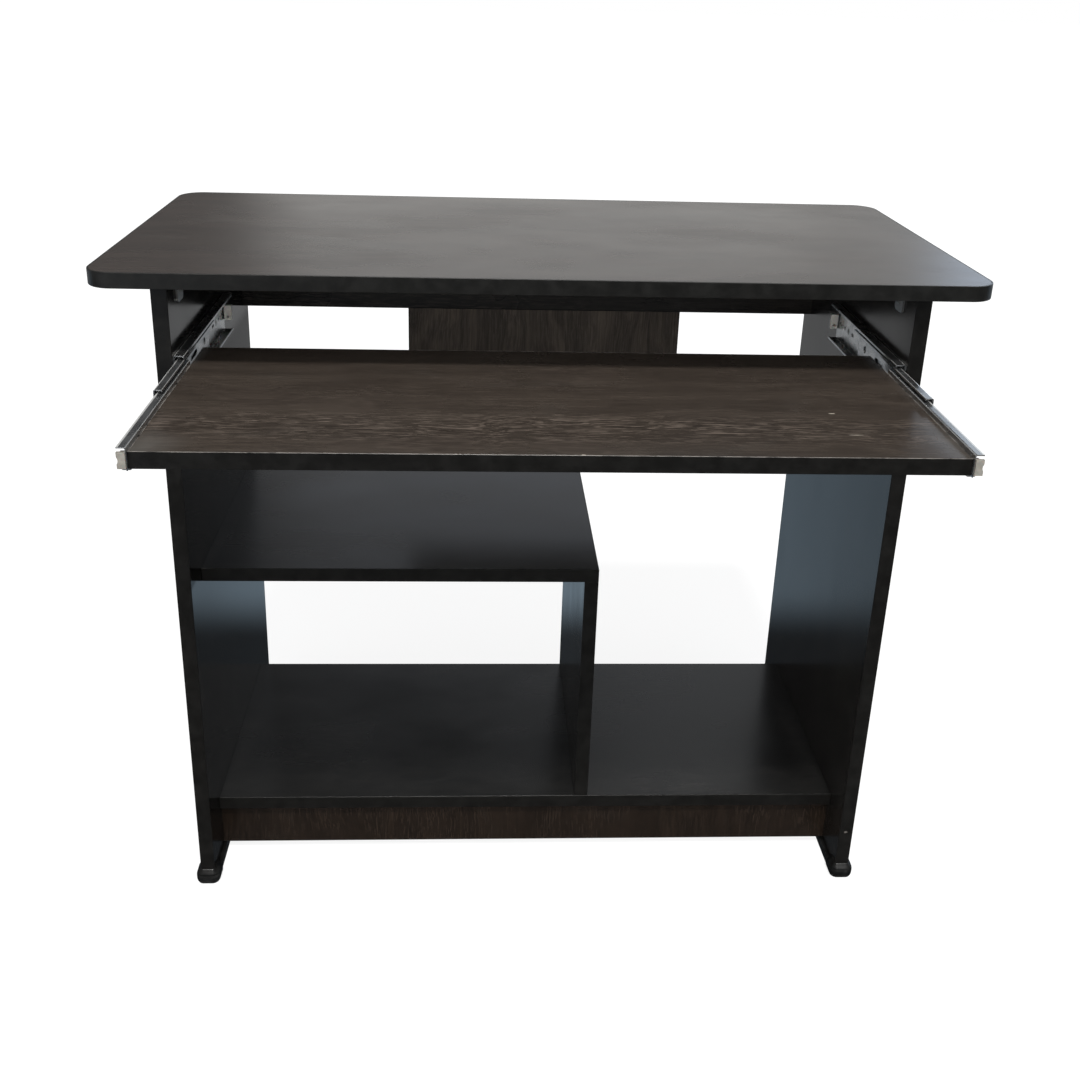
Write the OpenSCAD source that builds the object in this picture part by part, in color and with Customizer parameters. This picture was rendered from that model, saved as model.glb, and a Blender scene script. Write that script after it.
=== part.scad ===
// Computer desk of wenge-laminated board with a pull-out keyboard tray.
// Millimetres. X runs to the right, Y to the back and Z up, with the floor at Z = 0.
// Lengths along Y are first counted from the front edges of the side panels;
// place() then moves the whole desk so that its own box is centred on X = Y = 0.

/* [Desktop] */
// Width of the desktop
top_w = 900; // [800:5:1400]
// Thickness of the desktop
top_t = 16; // [14:1:30]
// Radius of the desktop's corners in plan
top_corner_r = 28; // [6:1:60]
// Overhang of the desktop past each side panel
top_side_overhang = 60; // [20:1:100]
// Overhang of the desktop past the front edges of the side panels
top_front_overhang = 20; // [8:1:60]
// Overhang of the desktop past the rear edges of the side panels
top_back_overhang = 12; // [6:1:40]
// Thickness of the desktop's edge band
top_band_t = 2; // [0.5:0.1:3]

/* [Carcass] */
// Height of the desk, floor to desktop
desk_h = 750; // [700:5:1100]
// Thickness of every board below the desktop
board_t = 16; // [15:1:22]
// Depth of the side panels
panel_d = 388; // [385:1:600]
// Thickness of the edge bands below the desktop
band_t = 1; // [0.4:0.1:2]
// Depth of the bottom shelf, the middle shelf and the divider
shelf_d = 287; // [220:1:300]
// Distance from the side panels' front edges back to the shelves
shelf_setback = 46; // [10:1:55]
// Height of the bottom shelf's underside above the floor
bottom_shelf_z = 68; // [50:1:120]
// Gap between the plinth and the floor
plinth_floor_gap = 12; // [9:1:30]
// Distance from the shelves' front edges back to the plinth's face
plinth_setback = 8; // [0:1:40]
// Clear height of the lower left bay
left_bay_h = 296; // [200:1:320]
// Clear width of the lower left bay
left_bay_w = 429.5; // [300:0.5:500]

/* [Back] */
// Height of the rail under the back of the desktop
rail_h = 123; // [90:1:180]
// Width of the centre back panel
back_panel_w = 362; // [250:1:500]
// Height of the centre back panel
back_panel_h = 190; // [150:1:330]
// Sideways place of the centre back panel's middle
back_panel_x = 20; // [-60:1:60]

/* [Keyboard tray] */
// Depth of the keyboard tray
tray_d = 284; // [265:1:330]
// Clear height between the tray and the desktop
tray_clear_h = 89; // [60:1:100]
// How far the tray stands pulled out from its closed place
tray_out = 214; // [60:1:225]
// Distance from the side panels' front edges back to the closed tray's front
tray_closed_inset = 7; // [4.5:0.5:20]

/* [Slides] */
// Length of the slides' outer members
slide_len = 235; // [228:1:245]
// Thickness of a slide between the side panel and the tray
slide_t = 12.7; // [12:0.1:15]
// Height of a slide
slide_h = 44; // [42:0.5:46]
// Sheet thickness of the slide members
slide_sheet = 1; // [0.8:0.1:1.1]
// Distance from the side panels' front edges back to the slides
slide_front_inset = 4; // [4:0.5:12]
// Share of the tray's way that the middle members make
middle_share = 0.4065; // [0.35:0.0005:0.5]
// Radius of the balls between the outer and middle members
outer_ball_r = 1.6; // [1.4:0.05:1.7]
// Radius of the balls between the middle and inner members
inner_ball_r = 1.3; // [1.1:0.05:1.4]
// Thickness of the ball cages
cage_t = 0.6; // [0.4:0.05:0.6]
// Length of the cages between the outer and middle members
outer_cage_len = 100; // [80:1:110]
// Length of the cages between the middle and inner members
inner_cage_len = 80; // [60:1:82]
// Way from the slides' front ends to the outer cages with the tray closed
outer_cage_home = 76; // [70:1:90]
// Way from the slides' front ends to the inner cages with the tray closed
inner_cage_home = 80; // [76:1:84]
// Thickness of the plastic caps at the front of the inner members
cap_t = 3; // [1.5:0.5:3.5]
// Height of the plastic caps
cap_h = 15; // [12:0.5:17]
// Distance from the inner members' upper edge down to the caps
cap_drop = 3.5; // [1:0.5:4.5]
// Length of the notch at the front of the inner members' lower flange
flange_notch = 12; // [4:1:20]
// Height of the plastic bumpers at the back of the outer members
bumper_h = 18; // [14:0.5:22]
// Thickness of the plastic bumpers
bumper_t = 4; // [2.5:0.5:5]

/* [Fittings] */
// Length of a panel shoe behind the panel's edge
shoe_len = 80; // [60:1:110]
// Thickness of the walls of a shoe's nose
shoe_wall = 6; // [5:0.5:8]
// Length of a shoe's nose behind the panel's edge
shoe_nose_len = 16; // [10:1:30]
// Height of a shoe's nose
shoe_h = 19; // [15:1:26]
// Radius of a shoe's nose in plan
shoe_nose_r = 9; // [7:0.5:10]
// Thickness of a shoe's low walls behind the nose
shoe_tail_wall = 4; // [2:0.5:4.5]
// Gap between a shoe's low walls and the plinth
shoe_plinth_gap = 2; // [1:0.5:3]
// Thickness of a shoe's floor
shoe_floor = 5; // [3:0.5:5.5]
// Way from the shelves' front and rear edges to their screws
shelf_screw_inset = 50; // [30:1:70]
// Way from the rail's edges to its screws
rail_screw_inset = 30; // [20:1:40]
// Way from the centre back panel's sides to its screws
back_screw_inset = 30; // [15:1:60]
// Way from the ends of an outer member to its end screws
slide_screw_inset = 45; // [35:1:60]
// Way from the ends of an inner member to its end screws
tray_screw_inset = 27; // [24:1:60]
// Length of the screws between the slides and the boards
slide_screw_len = 13; // [10:1:14]
// Length of the centre back panel's screws
back_screw_len = 28; // [22:1:30]
// Length of the shoes' screws
shoe_screw_len = 14; // [10:1:25]
// Length of the confirmat screws
confirmat_len = 50; // [40:1:60]
// Shank radius of the confirmat screws
confirmat_r = 3.5; // [2.5:0.1:4]
// Head radius of the confirmat screws
confirmat_head_r = 5; // [4.5:0.1:6]
// Radius of the covers over the confirmat heads
cover_r = 6; // [5.5:0.1:7]
// Radius of the wooden dowels
dowel_r = 4; // [3:0.5:4.5]
// Length of the wooden dowels
dowel_len = 28; // [20:1:30]
// Width of a corner bracket under the desktop
corner_w = 22; // [16:1:30]
// Length of each leg of a corner bracket
corner_leg = 28; // [22:1:34]
// Way from a corner bracket's bend to its screws
corner_hole = 17; // [12:1:18]
// Distance from the side panels' front edges back to the front corner brackets
corner_inset = 33; // [20:1:60]
// Distance between the rear corner brackets and the rail
corner_rail_gap = 32; // [20:1:60]
// Width of an angle bracket under the middle shelf
bracket_w = 20; // [14:1:30]
// Length of each leg of an angle bracket under the middle shelf
bracket_leg = 13; // [11:0.5:20]
// Thickness of every bracket
bracket_t = 2; // [1:0.5:3]
// Depth that a bracket's screw reaches into a board
bracket_bite = 10.5; // [8:0.5:12]
// Shank radius of the small screws
screw_r = 1.75; // [1.5:0.05:2]
// Radial clearance of a pin or screw in its hole
pin_fit = 0.1; // [0.05:0.05:0.3]

/* [Hidden] */
$fn = 48;

// Running gap between pieces that move past each other
run_gap = 0.3;
// A cut runs this far past the face that it opens
over = 1;

// Places across and up the desk
outer_x = top_w / 2 - top_side_overhang;
inner_x = outer_x - board_t;
panel_x = outer_x - board_t / 2;
top_z = desk_h - top_t;
shelf_z = bottom_shelf_z + board_t;
middle_z = shelf_z + left_bay_h;
divider_x = -inner_x + left_bay_w;
middle_right_x = divider_x + board_t;
tray_z = top_z - tray_clear_h - board_t;
slide_z = tray_z + board_t / 2;
plinth_h = bottom_shelf_z - plinth_floor_gap;

// Places along the depth
top_back_y = panel_d + top_back_overhang;
shelf_back_y = shelf_setback + shelf_d;
plinth_y = shelf_setback + plinth_setback;
back_panel_y = panel_d - board_t;
rail_y = back_panel_y - board_t;

// Slide sections, counted from the side panel towards the tray and from mid-height
outer_half = slide_h / 2;
middle_half = outer_half - slide_sheet - 2 * outer_ball_r - 2 * run_gap;
inner_half = middle_half - slide_sheet - 2 * inner_ball_r - 2 * run_gap;
outer_cage_u = slide_sheet + run_gap;
middle_u = outer_cage_u + cage_t + run_gap;
inner_cage_u = middle_u + slide_sheet + run_gap;
inner_u = inner_cage_u + cage_t + run_gap;
lip = 1.2;
raceway_end = 2.1;
outer_lip_u = slide_t - 1.7;
middle_lip_u = slide_t - raceway_end;
outer_ball_u = outer_lip_u - slide_sheet - run_gap - outer_ball_r - 0.6;
inner_ball_u = middle_lip_u - slide_sheet - run_gap - inner_ball_r - 0.6;
outer_ball_z = outer_half - slide_sheet - run_gap - outer_ball_r;
inner_ball_z = middle_half - slide_sheet - run_gap - inner_ball_r;

// Slide members along the depth, at the tray's place
end_tab_t = slide_sheet;
slide_y = slide_front_inset;
slide_end_y = slide_y + slide_len;
member_end_y = slide_end_y - end_tab_t - bumper_t - 0.6;
inner_len = member_end_y - slide_y;
middle_len = inner_len - 1;
middle_y = member_end_y - middle_len - middle_share * tray_out;
inner_y = member_end_y - inner_len - tray_out;
tray_y = tray_closed_inset - tray_out;
outer_cage_y = slide_y + outer_cage_home - middle_share / 2 * tray_out;
inner_cage_y = slide_y + inner_cage_home - (1 + middle_share) / 2 * tray_out;

// The desk's own box along the depth
front_y = min(-top_front_overhang, tray_y, inner_y - cap_t);
back_y = max(top_back_y, panel_d + shoe_wall);

// Fasteners
confirmat_head_h = 4;
confirmat_tip_h = 4;
thread_r = confirmat_r - 0.6;
cover_t = 1.2;
screw_head_r = screw_r * 2;
screw_head_h = 2;
screw_tip_h = 2;
shoe_recess = 2.4;
shoe_screw_y = shoe_len / 2;
corner_head_h = 1.6;
small_head_r = 2.8;
small_head_h = 1.2;
flush_head_h = slide_sheet - 0.1;
shelf_fixings = [shelf_setback + shelf_screw_inset, shelf_back_y - shelf_screw_inset];
rail_fixings = [top_z - rail_h + rail_screw_inset, top_z - rail_screw_inset];
slide_fixings = [slide_screw_inset, slide_len / 2, slide_len - slide_screw_inset];
tray_fixings = [tray_screw_inset, inner_len / 2, inner_len - tray_screw_inset];
dowel_share = top_t - 6;
dowel_beside_screw = 25;

// Colours
WENGE = [0.23, 0.18, 0.16];
BAND = [0.11, 0.105, 0.10];
ZINC = [0.78, 0.79, 0.80];
BEIGE = [0.78, 0.74, 0.66];
BLACK = [0.14, 0.14, 0.14];
BEECH = [0.76, 0.62, 0.44];

// Moves the desk so that its box is centred on the vertical axis
module place() translate([0, -(front_y + back_y) / 2, 0]) children();

// Draws the left-hand piece on the left (side = -1) or its mirror image on the right
module on_side(side) mirror([side > 0 ? 1 : 0, 0, 0]) children();

// A box between two opposite corners
module span(low, high) translate(low) cube(high - low);

// Turns a piece whose axis is +Z so that it points along +X, -X, +Y or -Y
module along_x() rotate([0, 90, 0]) children();
module against_x() rotate([0, -90, 0]) children();
module along_y() rotate([-90, 0, 0]) children();
module against_y() rotate([90, 0, 0]) children();

// Rounded rectangle in plan, between two opposite corners
module rounded_plan(low, high, r) {
    union() {
        translate([low[0] + r, low[1]]) square([high[0] - low[0] - 2 * r, high[1] - low[1]]);
        translate([low[0], low[1] + r]) square([high[0] - low[0], high[1] - low[1] - 2 * r]);
        for (x = [low[0] + r, high[0] - r], y = [low[1] + r, high[1] - r])
            translate([x, y]) circle(r);
    }
}

// Confirmat screw driven from the origin along +Z, or its stepped hole when grow > 0
module confirmat(grow = 0) {
    cylinder(h = confirmat_head_h, r1 = confirmat_head_r + grow, r2 = confirmat_r + grow);
    cylinder(h = board_t, r = confirmat_r + grow);
    cylinder(h = confirmat_len - confirmat_tip_h, r = thread_r + grow);
    translate([0, 0, confirmat_len - confirmat_tip_h])
        cylinder(h = confirmat_tip_h + grow, r1 = thread_r + grow, r2 = 1 + grow);
}

// Countersunk wood screw driven from the origin along +Z, or its hole when grow > 0
module wood_screw(length, grow = 0) {
    cylinder(h = screw_head_h, r1 = screw_head_r + grow, r2 = screw_r + grow);
    cylinder(h = length - screw_tip_h, r = screw_r + grow);
    screw_tip(length, grow);
}
module screw_tip(length, grow) {
    translate([0, 0, length - screw_tip_h])
        cylinder(h = screw_tip_h + grow, r1 = screw_r + grow, r2 = 0.5 + grow);
}

// Screw with a flat disc head, or its hole when grow > 0; the head lies before the origin
module flat_screw(length, head_r, head_h, grow = 0) {
    translate([0, 0, -head_h]) cylinder(h = head_h, r = head_r + grow);
    cylinder(h = length - screw_tip_h, r = screw_r + grow);
    screw_tip(length, grow);
}

// Places of the confirmat screws: through the side panels, and up into the divider
module at_side_confirmats() {
    for (side = [-1, 1]) on_side(side) {
        for (y = shelf_fixings)
            translate([-outer_x, y, bottom_shelf_z + board_t / 2]) along_x() children();
        for (z = rail_fixings)
            translate([-outer_x, rail_y + board_t / 2, z]) along_x() children();
        translate([-outer_x, plinth_y + board_t / 2, plinth_floor_gap + plinth_h / 2])
            along_x() children();
    }
}
module at_divider_confirmats() {
    for (y = shelf_fixings)
        translate([divider_x + board_t / 2, y, bottom_shelf_z]) children();
}

// Wooden dowels, as pins or, with grow > 0, as their holes: two in the top of each side
// panel, the rail and the plinth, and two between the divider and the middle shelf
module dowels(grow = 0) {
    up = dowel_share + grow;
    for (x = [-panel_x, panel_x], y = [panel_d / 4, panel_d * 3 / 4])
        dowel_at([x, y, top_z], up, grow);
    for (x = [-outer_x * 0.64, outer_x * 0.64])
        dowel_at([x, rail_y + board_t / 2, top_z], up, grow);
    for (x = [-outer_x / 2, outer_x / 2])
        dowel_at([x, plinth_y + board_t / 2, bottom_shelf_z], up, grow);
    for (y = shelf_fixings)
        dowel_at([divider_x + board_t / 2, y + dowel_beside_screw, middle_z], up, grow);
}
module dowel_at(joint, up, grow) {
    translate(joint - [0, 0, dowel_len - dowel_share + grow])
        cylinder(h = dowel_len - dowel_share + grow + up, r = dowel_r + grow);
}

// Screws through the two legs of a bracket whose bend lies at the origin, X inward, Z up
module bracket_drills(hole, head_r, head_h, grow) {
    translate([bracket_t, 0, -hole])
        against_x() flat_screw(bracket_t + bracket_bite, head_r, head_h, grow);
    translate([hole, 0, -bracket_t])
        flat_screw(bracket_t + bracket_bite, head_r, head_h, grow);
}

// Places of the corner brackets between the side panels and the desktop
module at_corner_brackets() {
    for (side = [-1, 1]) on_side(side)
        for (y = [corner_inset + corner_w / 2, rail_y - corner_rail_gap - corner_w / 2])
            translate([-inner_x, y, top_z]) children();
}
module corner_bracket_drills(grow) bracket_drills(corner_hole, screw_head_r, corner_head_h, grow);

// Places of the brackets under the middle shelf: at the left panel and at the divider
module at_shelf_brackets() {
    for (y = shelf_fixings) {
        translate([-inner_x, y, middle_z]) children();
        translate([divider_x, y, middle_z]) mirror([1, 0, 0]) children();
    }
}
module shelf_bracket_drills(grow) {
    bracket_drills((bracket_leg + bracket_t) / 2, small_head_r, small_head_h, grow);
}

// Screws of the centre back panel, driven from behind into the rail
module at_back_screws() {
    for (x = [-1, 1], z = rail_fixings)
        translate([back_panel_x + x * (back_panel_w / 2 - back_screw_inset), panel_d, z])
            against_y() children();
}

// Screws between the slides and the side panels, and between the slides and the tray
module at_panel_slide_screws() {
    for (side = [-1, 1]) on_side(side)
        for (y = slide_fixings)
            translate([-inner_x, slide_y + y, slide_z]) against_x() children();
}
module at_tray_slide_screws() {
    for (side = [-1, 1]) on_side(side)
        for (y = tray_fixings)
            translate([-inner_x + slide_t, inner_y + y, slide_z]) along_x() children();
}

// Places of the panel shoes: a mirror image of the front one stands at the back
module at_shoe(side, back) {
    translate([side * panel_x, back ? panel_d : 0, 0]) mirror([0, back ? 1 : 0, 0]) children();
}
module at_all_shoes() {
    for (side = [-1, 1], back = [false, true]) at_shoe(side, back) children();
}
module shoe_screw_drill(grow) {
    translate([0, shoe_screw_y, shoe_floor])
        flat_screw(shoe_screw_len, screw_head_r, shoe_recess, grow);
}

// All holes that the fixings make in the boards
module board_drills() {
    at_side_confirmats() confirmat(pin_fit);
    at_divider_confirmats() confirmat(pin_fit);
    dowels(pin_fit);
    at_corner_brackets() corner_bracket_drills(pin_fit);
    at_shelf_brackets() shelf_bracket_drills(pin_fit);
    at_back_screws() wood_screw(back_screw_len, pin_fit);
    at_panel_slide_screws() flat_screw(slide_screw_len, screw_r, flush_head_h, pin_fit);
    at_all_shoes() shoe_screw_drill(pin_fit);
}

// Desktop core: the edge band runs round it
module desktop() {
    color(WENGE) difference() {
        translate([0, 0, top_z]) linear_extrude(top_t)
            rounded_plan([-top_w / 2 + top_band_t, -top_front_overhang + top_band_t],
                [top_w / 2 - top_band_t, top_back_y - top_band_t], top_corner_r - top_band_t);
        dowels(pin_fit);
        at_corner_brackets() corner_bracket_drills(pin_fit);
    }
}

module desktop_edge_band() {
    color(BAND) translate([0, 0, top_z]) linear_extrude(top_t) difference() {
        rounded_plan([-top_w / 2, -top_front_overhang], [top_w / 2, top_back_y], top_corner_r);
        rounded_plan([-top_w / 2 + top_band_t, -top_front_overhang + top_band_t],
            [top_w / 2 - top_band_t, top_back_y - top_band_t], top_corner_r - top_band_t);
    }
}

module side_panel(side) {
    color(WENGE) difference() {
        on_side(side) span([-outer_x, band_t, shoe_floor], [-inner_x, panel_d - band_t, top_z]);
        board_drills();
    }
}

module side_panel_bands(side) {
    color(BAND) on_side(side) {
        span([-outer_x, 0, shoe_floor], [-inner_x, band_t, top_z]);
        span([-outer_x, panel_d - band_t, shoe_floor], [-inner_x, panel_d, top_z]);
    }
}

module back_rail() {
    color(WENGE) difference() {
        span([-inner_x, rail_y, top_z - rail_h + band_t], [inner_x, rail_y + board_t, top_z]);
        board_drills();
    }
}

module back_rail_edge_band() {
    color(BAND) span([-inner_x, rail_y, top_z - rail_h],
        [inner_x, rail_y + board_t, top_z - rail_h + band_t]);
}

back_panel_x0 = back_panel_x - back_panel_w / 2;
back_panel_x1 = back_panel_x + back_panel_w / 2;
back_panel_z = top_z - back_panel_h;
module centre_back_panel() {
    color(WENGE) difference() {
        span([back_panel_x0 + band_t, back_panel_y, back_panel_z + band_t],
            [back_panel_x1 - band_t, panel_d, top_z]);
        board_drills();
    }
}

module centre_panel_edge_bands() {
    color(BAND) difference() {
        span([back_panel_x0, back_panel_y, back_panel_z], [back_panel_x1, panel_d, top_z]);
        span([back_panel_x0 + band_t, back_panel_y - over, back_panel_z + band_t],
            [back_panel_x1 - band_t, panel_d + over, top_z + over]);
    }
}

module bottom_shelf() {
    color(WENGE) difference() {
        span([-inner_x, shelf_setback + band_t, bottom_shelf_z], [inner_x, shelf_back_y, shelf_z]);
        board_drills();
    }
}

module bottom_shelf_edge_band() {
    color(BAND) span([-inner_x, shelf_setback, bottom_shelf_z],
        [inner_x, shelf_setback + band_t, shelf_z]);
}

module front_plinth() {
    color(WENGE) difference() {
        span([-inner_x, plinth_y, plinth_floor_gap + band_t],
            [inner_x, plinth_y + board_t, bottom_shelf_z]);
        board_drills();
    }
}

module plinth_edge_band() {
    color(BAND) span([-inner_x, plinth_y, plinth_floor_gap],
        [inner_x, plinth_y + board_t, plinth_floor_gap + band_t]);
}

// The middle shelf's free end lies over the divider and is banded like its front
module middle_shelf() {
    color(WENGE) difference() {
        span([-inner_x, shelf_setback + band_t, middle_z],
            [middle_right_x - band_t, shelf_back_y, middle_z + board_t]);
        board_drills();
    }
}

module middle_shelf_edge_bands() {
    color(BAND) difference() {
        span([-inner_x, shelf_setback, middle_z],
            [middle_right_x, shelf_back_y, middle_z + board_t]);
        span([-inner_x - over, shelf_setback + band_t, middle_z - over],
            [middle_right_x - band_t, shelf_back_y + over, middle_z + board_t + over]);
    }
}

module divider_panel() {
    color(WENGE) difference() {
        span([divider_x, shelf_setback + band_t, shelf_z],
            [middle_right_x, shelf_back_y, middle_z]);
        board_drills();
    }
}

module divider_edge_band() {
    color(BAND) span([divider_x, shelf_setback, shelf_z],
        [middle_right_x, shelf_setback + band_t, middle_z]);
}

// Angle bracket: two legs with rounded ends, meeting in a bend at the origin
module leg_plate(width, leg) {
    r = width / 5;
    linear_extrude(bracket_t) union() {
        translate([0, -width / 2]) square([leg - r, width]);
        translate([0, -width / 2 + r]) square([leg, width - 2 * r]);
        for (y = [-width / 2 + r, width / 2 - r]) translate([leg - r, y]) circle(r);
    }
}
module angle_bracket(width, leg) {
    translate([0, 0, -bracket_t]) leg_plate(width, leg);
    along_x() leg_plate(width, leg);
}

module corner_brackets() {
    color(ZINC) at_corner_brackets() difference() {
        angle_bracket(corner_w, corner_leg);
        corner_bracket_drills(pin_fit);
    }
}

module corner_bracket_screws() {
    color(ZINC) at_corner_brackets() corner_bracket_drills(0);
}

module shelf_brackets() {
    color(ZINC) at_shelf_brackets() difference() {
        angle_bracket(bracket_w, bracket_leg);
        shelf_bracket_drills(pin_fit);
    }
}

module shelf_bracket_screws() {
    color(ZINC) at_shelf_brackets() shelf_bracket_drills(0);
}

module confirmat_screws() {
    color(ZINC) {
        at_side_confirmats() confirmat();
        at_divider_confirmats() confirmat();
    }
}

module screw_covers() {
    color(BLACK) at_side_confirmats() translate([0, 0, -cover_t])
        cylinder(h = cover_t, r1 = cover_r - 0.8, r2 = cover_r);
}

module wooden_dowels() {
    color(BEECH) dowels();
}

module back_panel_screws() {
    color(ZINC) at_back_screws() wood_screw(back_screw_len);
}

// Plan of a shoe's nose, drawn in by an inset: rounded before the panel's edge
shoe_half = board_t / 2 + shoe_wall;
module nose_plan(inset) {
    turn = shoe_half - shoe_nose_r;
    translate([-shoe_half + inset, shoe_nose_r - shoe_wall])
        square([2 * (shoe_half - inset), shoe_nose_len + shoe_wall - shoe_nose_r]);
    translate([-turn, inset - shoe_wall]) square([2 * turn, shoe_nose_r]);
    for (x = [-turn, turn]) translate([x, shoe_nose_r - shoe_wall]) circle(shoe_nose_r - inset);
}

// Shoe: a nose in four steps, and behind it low walls that pass under the plinth
shoe_tail_h = min(shoe_h - 4, plinth_floor_gap - shoe_plinth_gap);
module shoe() {
    sole_h = shoe_h * 0.2;
    bulge_h = shoe_h * 0.62;
    collar_h = shoe_h * 0.8;
    difference() {
        union() {
            linear_extrude(sole_h) nose_plan(1.5);
            translate([0, 0, sole_h]) linear_extrude(bulge_h - sole_h) nose_plan(0);
            translate([0, 0, bulge_h]) linear_extrude(collar_h - bulge_h) nose_plan(1.8);
            translate([0, 0, collar_h]) linear_extrude(shoe_h - collar_h) nose_plan(3.6);
            span([-board_t / 2 - shoe_tail_wall, 0, 0],
                [board_t / 2 + shoe_tail_wall, shoe_len, shoe_tail_h]);
        }
        span([-board_t / 2 - pin_fit, -pin_fit, shoe_floor],
            [board_t / 2 + pin_fit, shoe_len + over, shoe_h + over]);
        translate([0, shoe_screw_y, -over])
            cylinder(h = shoe_floor - shoe_recess + over, r = screw_head_r + pin_fit);
        shoe_screw_drill(pin_fit);
    }
}

module shoe_screws() {
    color(ZINC) at_all_shoes() shoe_screw_drill(0);
}

// Section of a slide member: a channel with its web at u0, open towards u1, with lips
module channel_section(u0, u1, half, lips) {
    r = slide_sheet * 1.8;
    difference() {
        rounded_plan([u0, -half], [u1 + r, half], r);
        rounded_plan([u0 + slide_sheet, -half + slide_sheet],
            [u1 + r + over, half - slide_sheet], r - slide_sheet);
        translate([u1, -half - over]) square([r + over, 2 * half + 2 * over]);
    }
    for (s = [-1, 1]) translate([u1 - slide_sheet, s > 0 ? half - lips : -half])
        square([slide_sheet, lips]);
}

// Runs a section along the depth, from y0 to y1
module run_along(y0, y1) {
    translate([0, y1, 0]) rotate([90, 0, 0]) linear_extrude(y1 - y0) children();
}

// Hole across a slide's web, at a distance along it
module web_hole(y, z, r) {
    translate([-over, y, z]) along_x() cylinder(h = slide_t + 2 * over, r = r);
}
module web_slot(y, z, r, length) {
    web_hole(y, z, r);
    web_hole(y + length, z, r);
    span([-over, y, z - r], [slide_t + over, y + length, z + r]);
}

// Puts a slide's own axes (u across, height from mid-height) at its place in the desk
module slide_frame(side) on_side(side) translate([-inner_x, 0, slide_z]) children();

module slide_outer(side) {
    color(ZINC) slide_frame(side) {
        difference() {
            run_along(slide_y, slide_end_y)
                channel_section(0, outer_lip_u, outer_half, slide_sheet + lip);
            for (y = slide_fixings) web_hole(slide_y + y, 0, screw_head_r + 0.2);
            for (y = slide_fixings) {
                web_hole(slide_y + y + 14, 0, 2.2);
                web_slot(slide_y + y - 18, 0, 1.8, 5);
            }
            web_hole(slide_end_y - 12, 0, 3);
        }
        span([0, slide_end_y - end_tab_t, -bumper_h / 2], [outer_lip_u, slide_end_y, bumper_h / 2]);
    }
}

// Plastic bumper on the tab at the back of the outer member
module slide_bumper(side) {
    color(BEIGE) slide_frame(side) difference() {
        span([middle_u, slide_end_y - end_tab_t - bumper_t, -bumper_h / 2],
            [outer_lip_u - 0.5, slide_end_y - end_tab_t, bumper_h / 2]);
        translate([(middle_u + outer_lip_u) / 2, slide_end_y, -bumper_h / 4])
            against_y() cylinder(h = bumper_t + end_tab_t + over, r = 1.6);
    }
}

module slide_to_panel_screws() {
    color(ZINC) at_panel_slide_screws() flat_screw(slide_screw_len, screw_head_r, flush_head_h);
}

module slide_middle(side) {
    color(ZINC) slide_frame(side) difference() {
        run_along(middle_y, middle_y + middle_len)
            channel_section(middle_u, middle_lip_u, middle_half, slide_sheet + 1);
        for (y = [22, middle_len / 2, middle_len - 22]) web_hole(middle_y + y, 0, 4.2);
        web_slot(middle_y + middle_len / 2 + 30, 0, 3, 24);
    }
}

module slide_inner(side) {
    color(ZINC) slide_frame(side) difference() {
        run_along(inner_y, inner_y + inner_len) translate([slide_t, 0]) mirror([1, 0])
            channel_section(0, slide_t - inner_u, inner_half, slide_sheet);
        for (y = tray_fixings) web_hole(inner_y + y, 0, screw_r + 0.2);
        web_hole(inner_y + 9, inner_half - 3, 1.1);
        span([inner_u - over, inner_y - over, -inner_half - over],
            [slide_t + over, inner_y + flange_notch, -inner_half + 4.5]);
        for (y = tray_fixings) web_slot(inner_y + y + 12, 0, 1.6, 6);
    }
}

// Moulded cap in the upper part of the inner member's mouth, with a waisted outer side
cap_u0 = inner_u + 0.6;
cap_u1 = slide_t - 0.4;
cap_top = inner_half - cap_drop;
module slide_cap(side) {
    color(BEIGE) slide_frame(side) difference() {
        union() {
            span([cap_u0 + 0.6, inner_y - run_gap, cap_top - cap_h + 2],
                [slide_t - slide_sheet - 1, inner_y + 9, cap_top - 3]);
            span([cap_u0, inner_y - cap_t, cap_top - cap_h], [cap_u1, inner_y - run_gap, cap_top]);
        }
        translate([cap_u0 - 5, inner_y - cap_t - over, cap_top - cap_h / 2]) along_y()
            cylinder(h = cap_t + over, r = 6);
    }
}

module slide_to_tray_screws() {
    color(ZINC) at_tray_slide_screws() translate([0, 0, -slide_sheet])
        flat_screw(slide_screw_len + slide_sheet, 3.2, 1.5);
}

// Ball cage: a thin strip behind the web with an arm along each raceway
module ball_cage(side, u0, ball_u, ball_z, ball_r, y0, length, count) {
    pitch = (length - 12) / (count - 1);
    half = ball_z + cage_t / 2;
    arm_u = ball_u + ball_r + 0.4;
    color(ZINC) slide_frame(side) difference() {
        span([u0, y0, -half], [arm_u, y0 + length, half]);
        span([u0 + cage_t, y0 - over, -half + cage_t], [arm_u + over, y0 + length + over, half - cage_t]);
        for (i = [0:count - 1])
            translate([ball_u, y0 + 6 + i * pitch, -half - over])
                cylinder(h = 2 * half + 2 * over, r = ball_r + 0.15);
        web_slot(y0 + length / 2 - 15, 0, 4, 30);
    }
}

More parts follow.
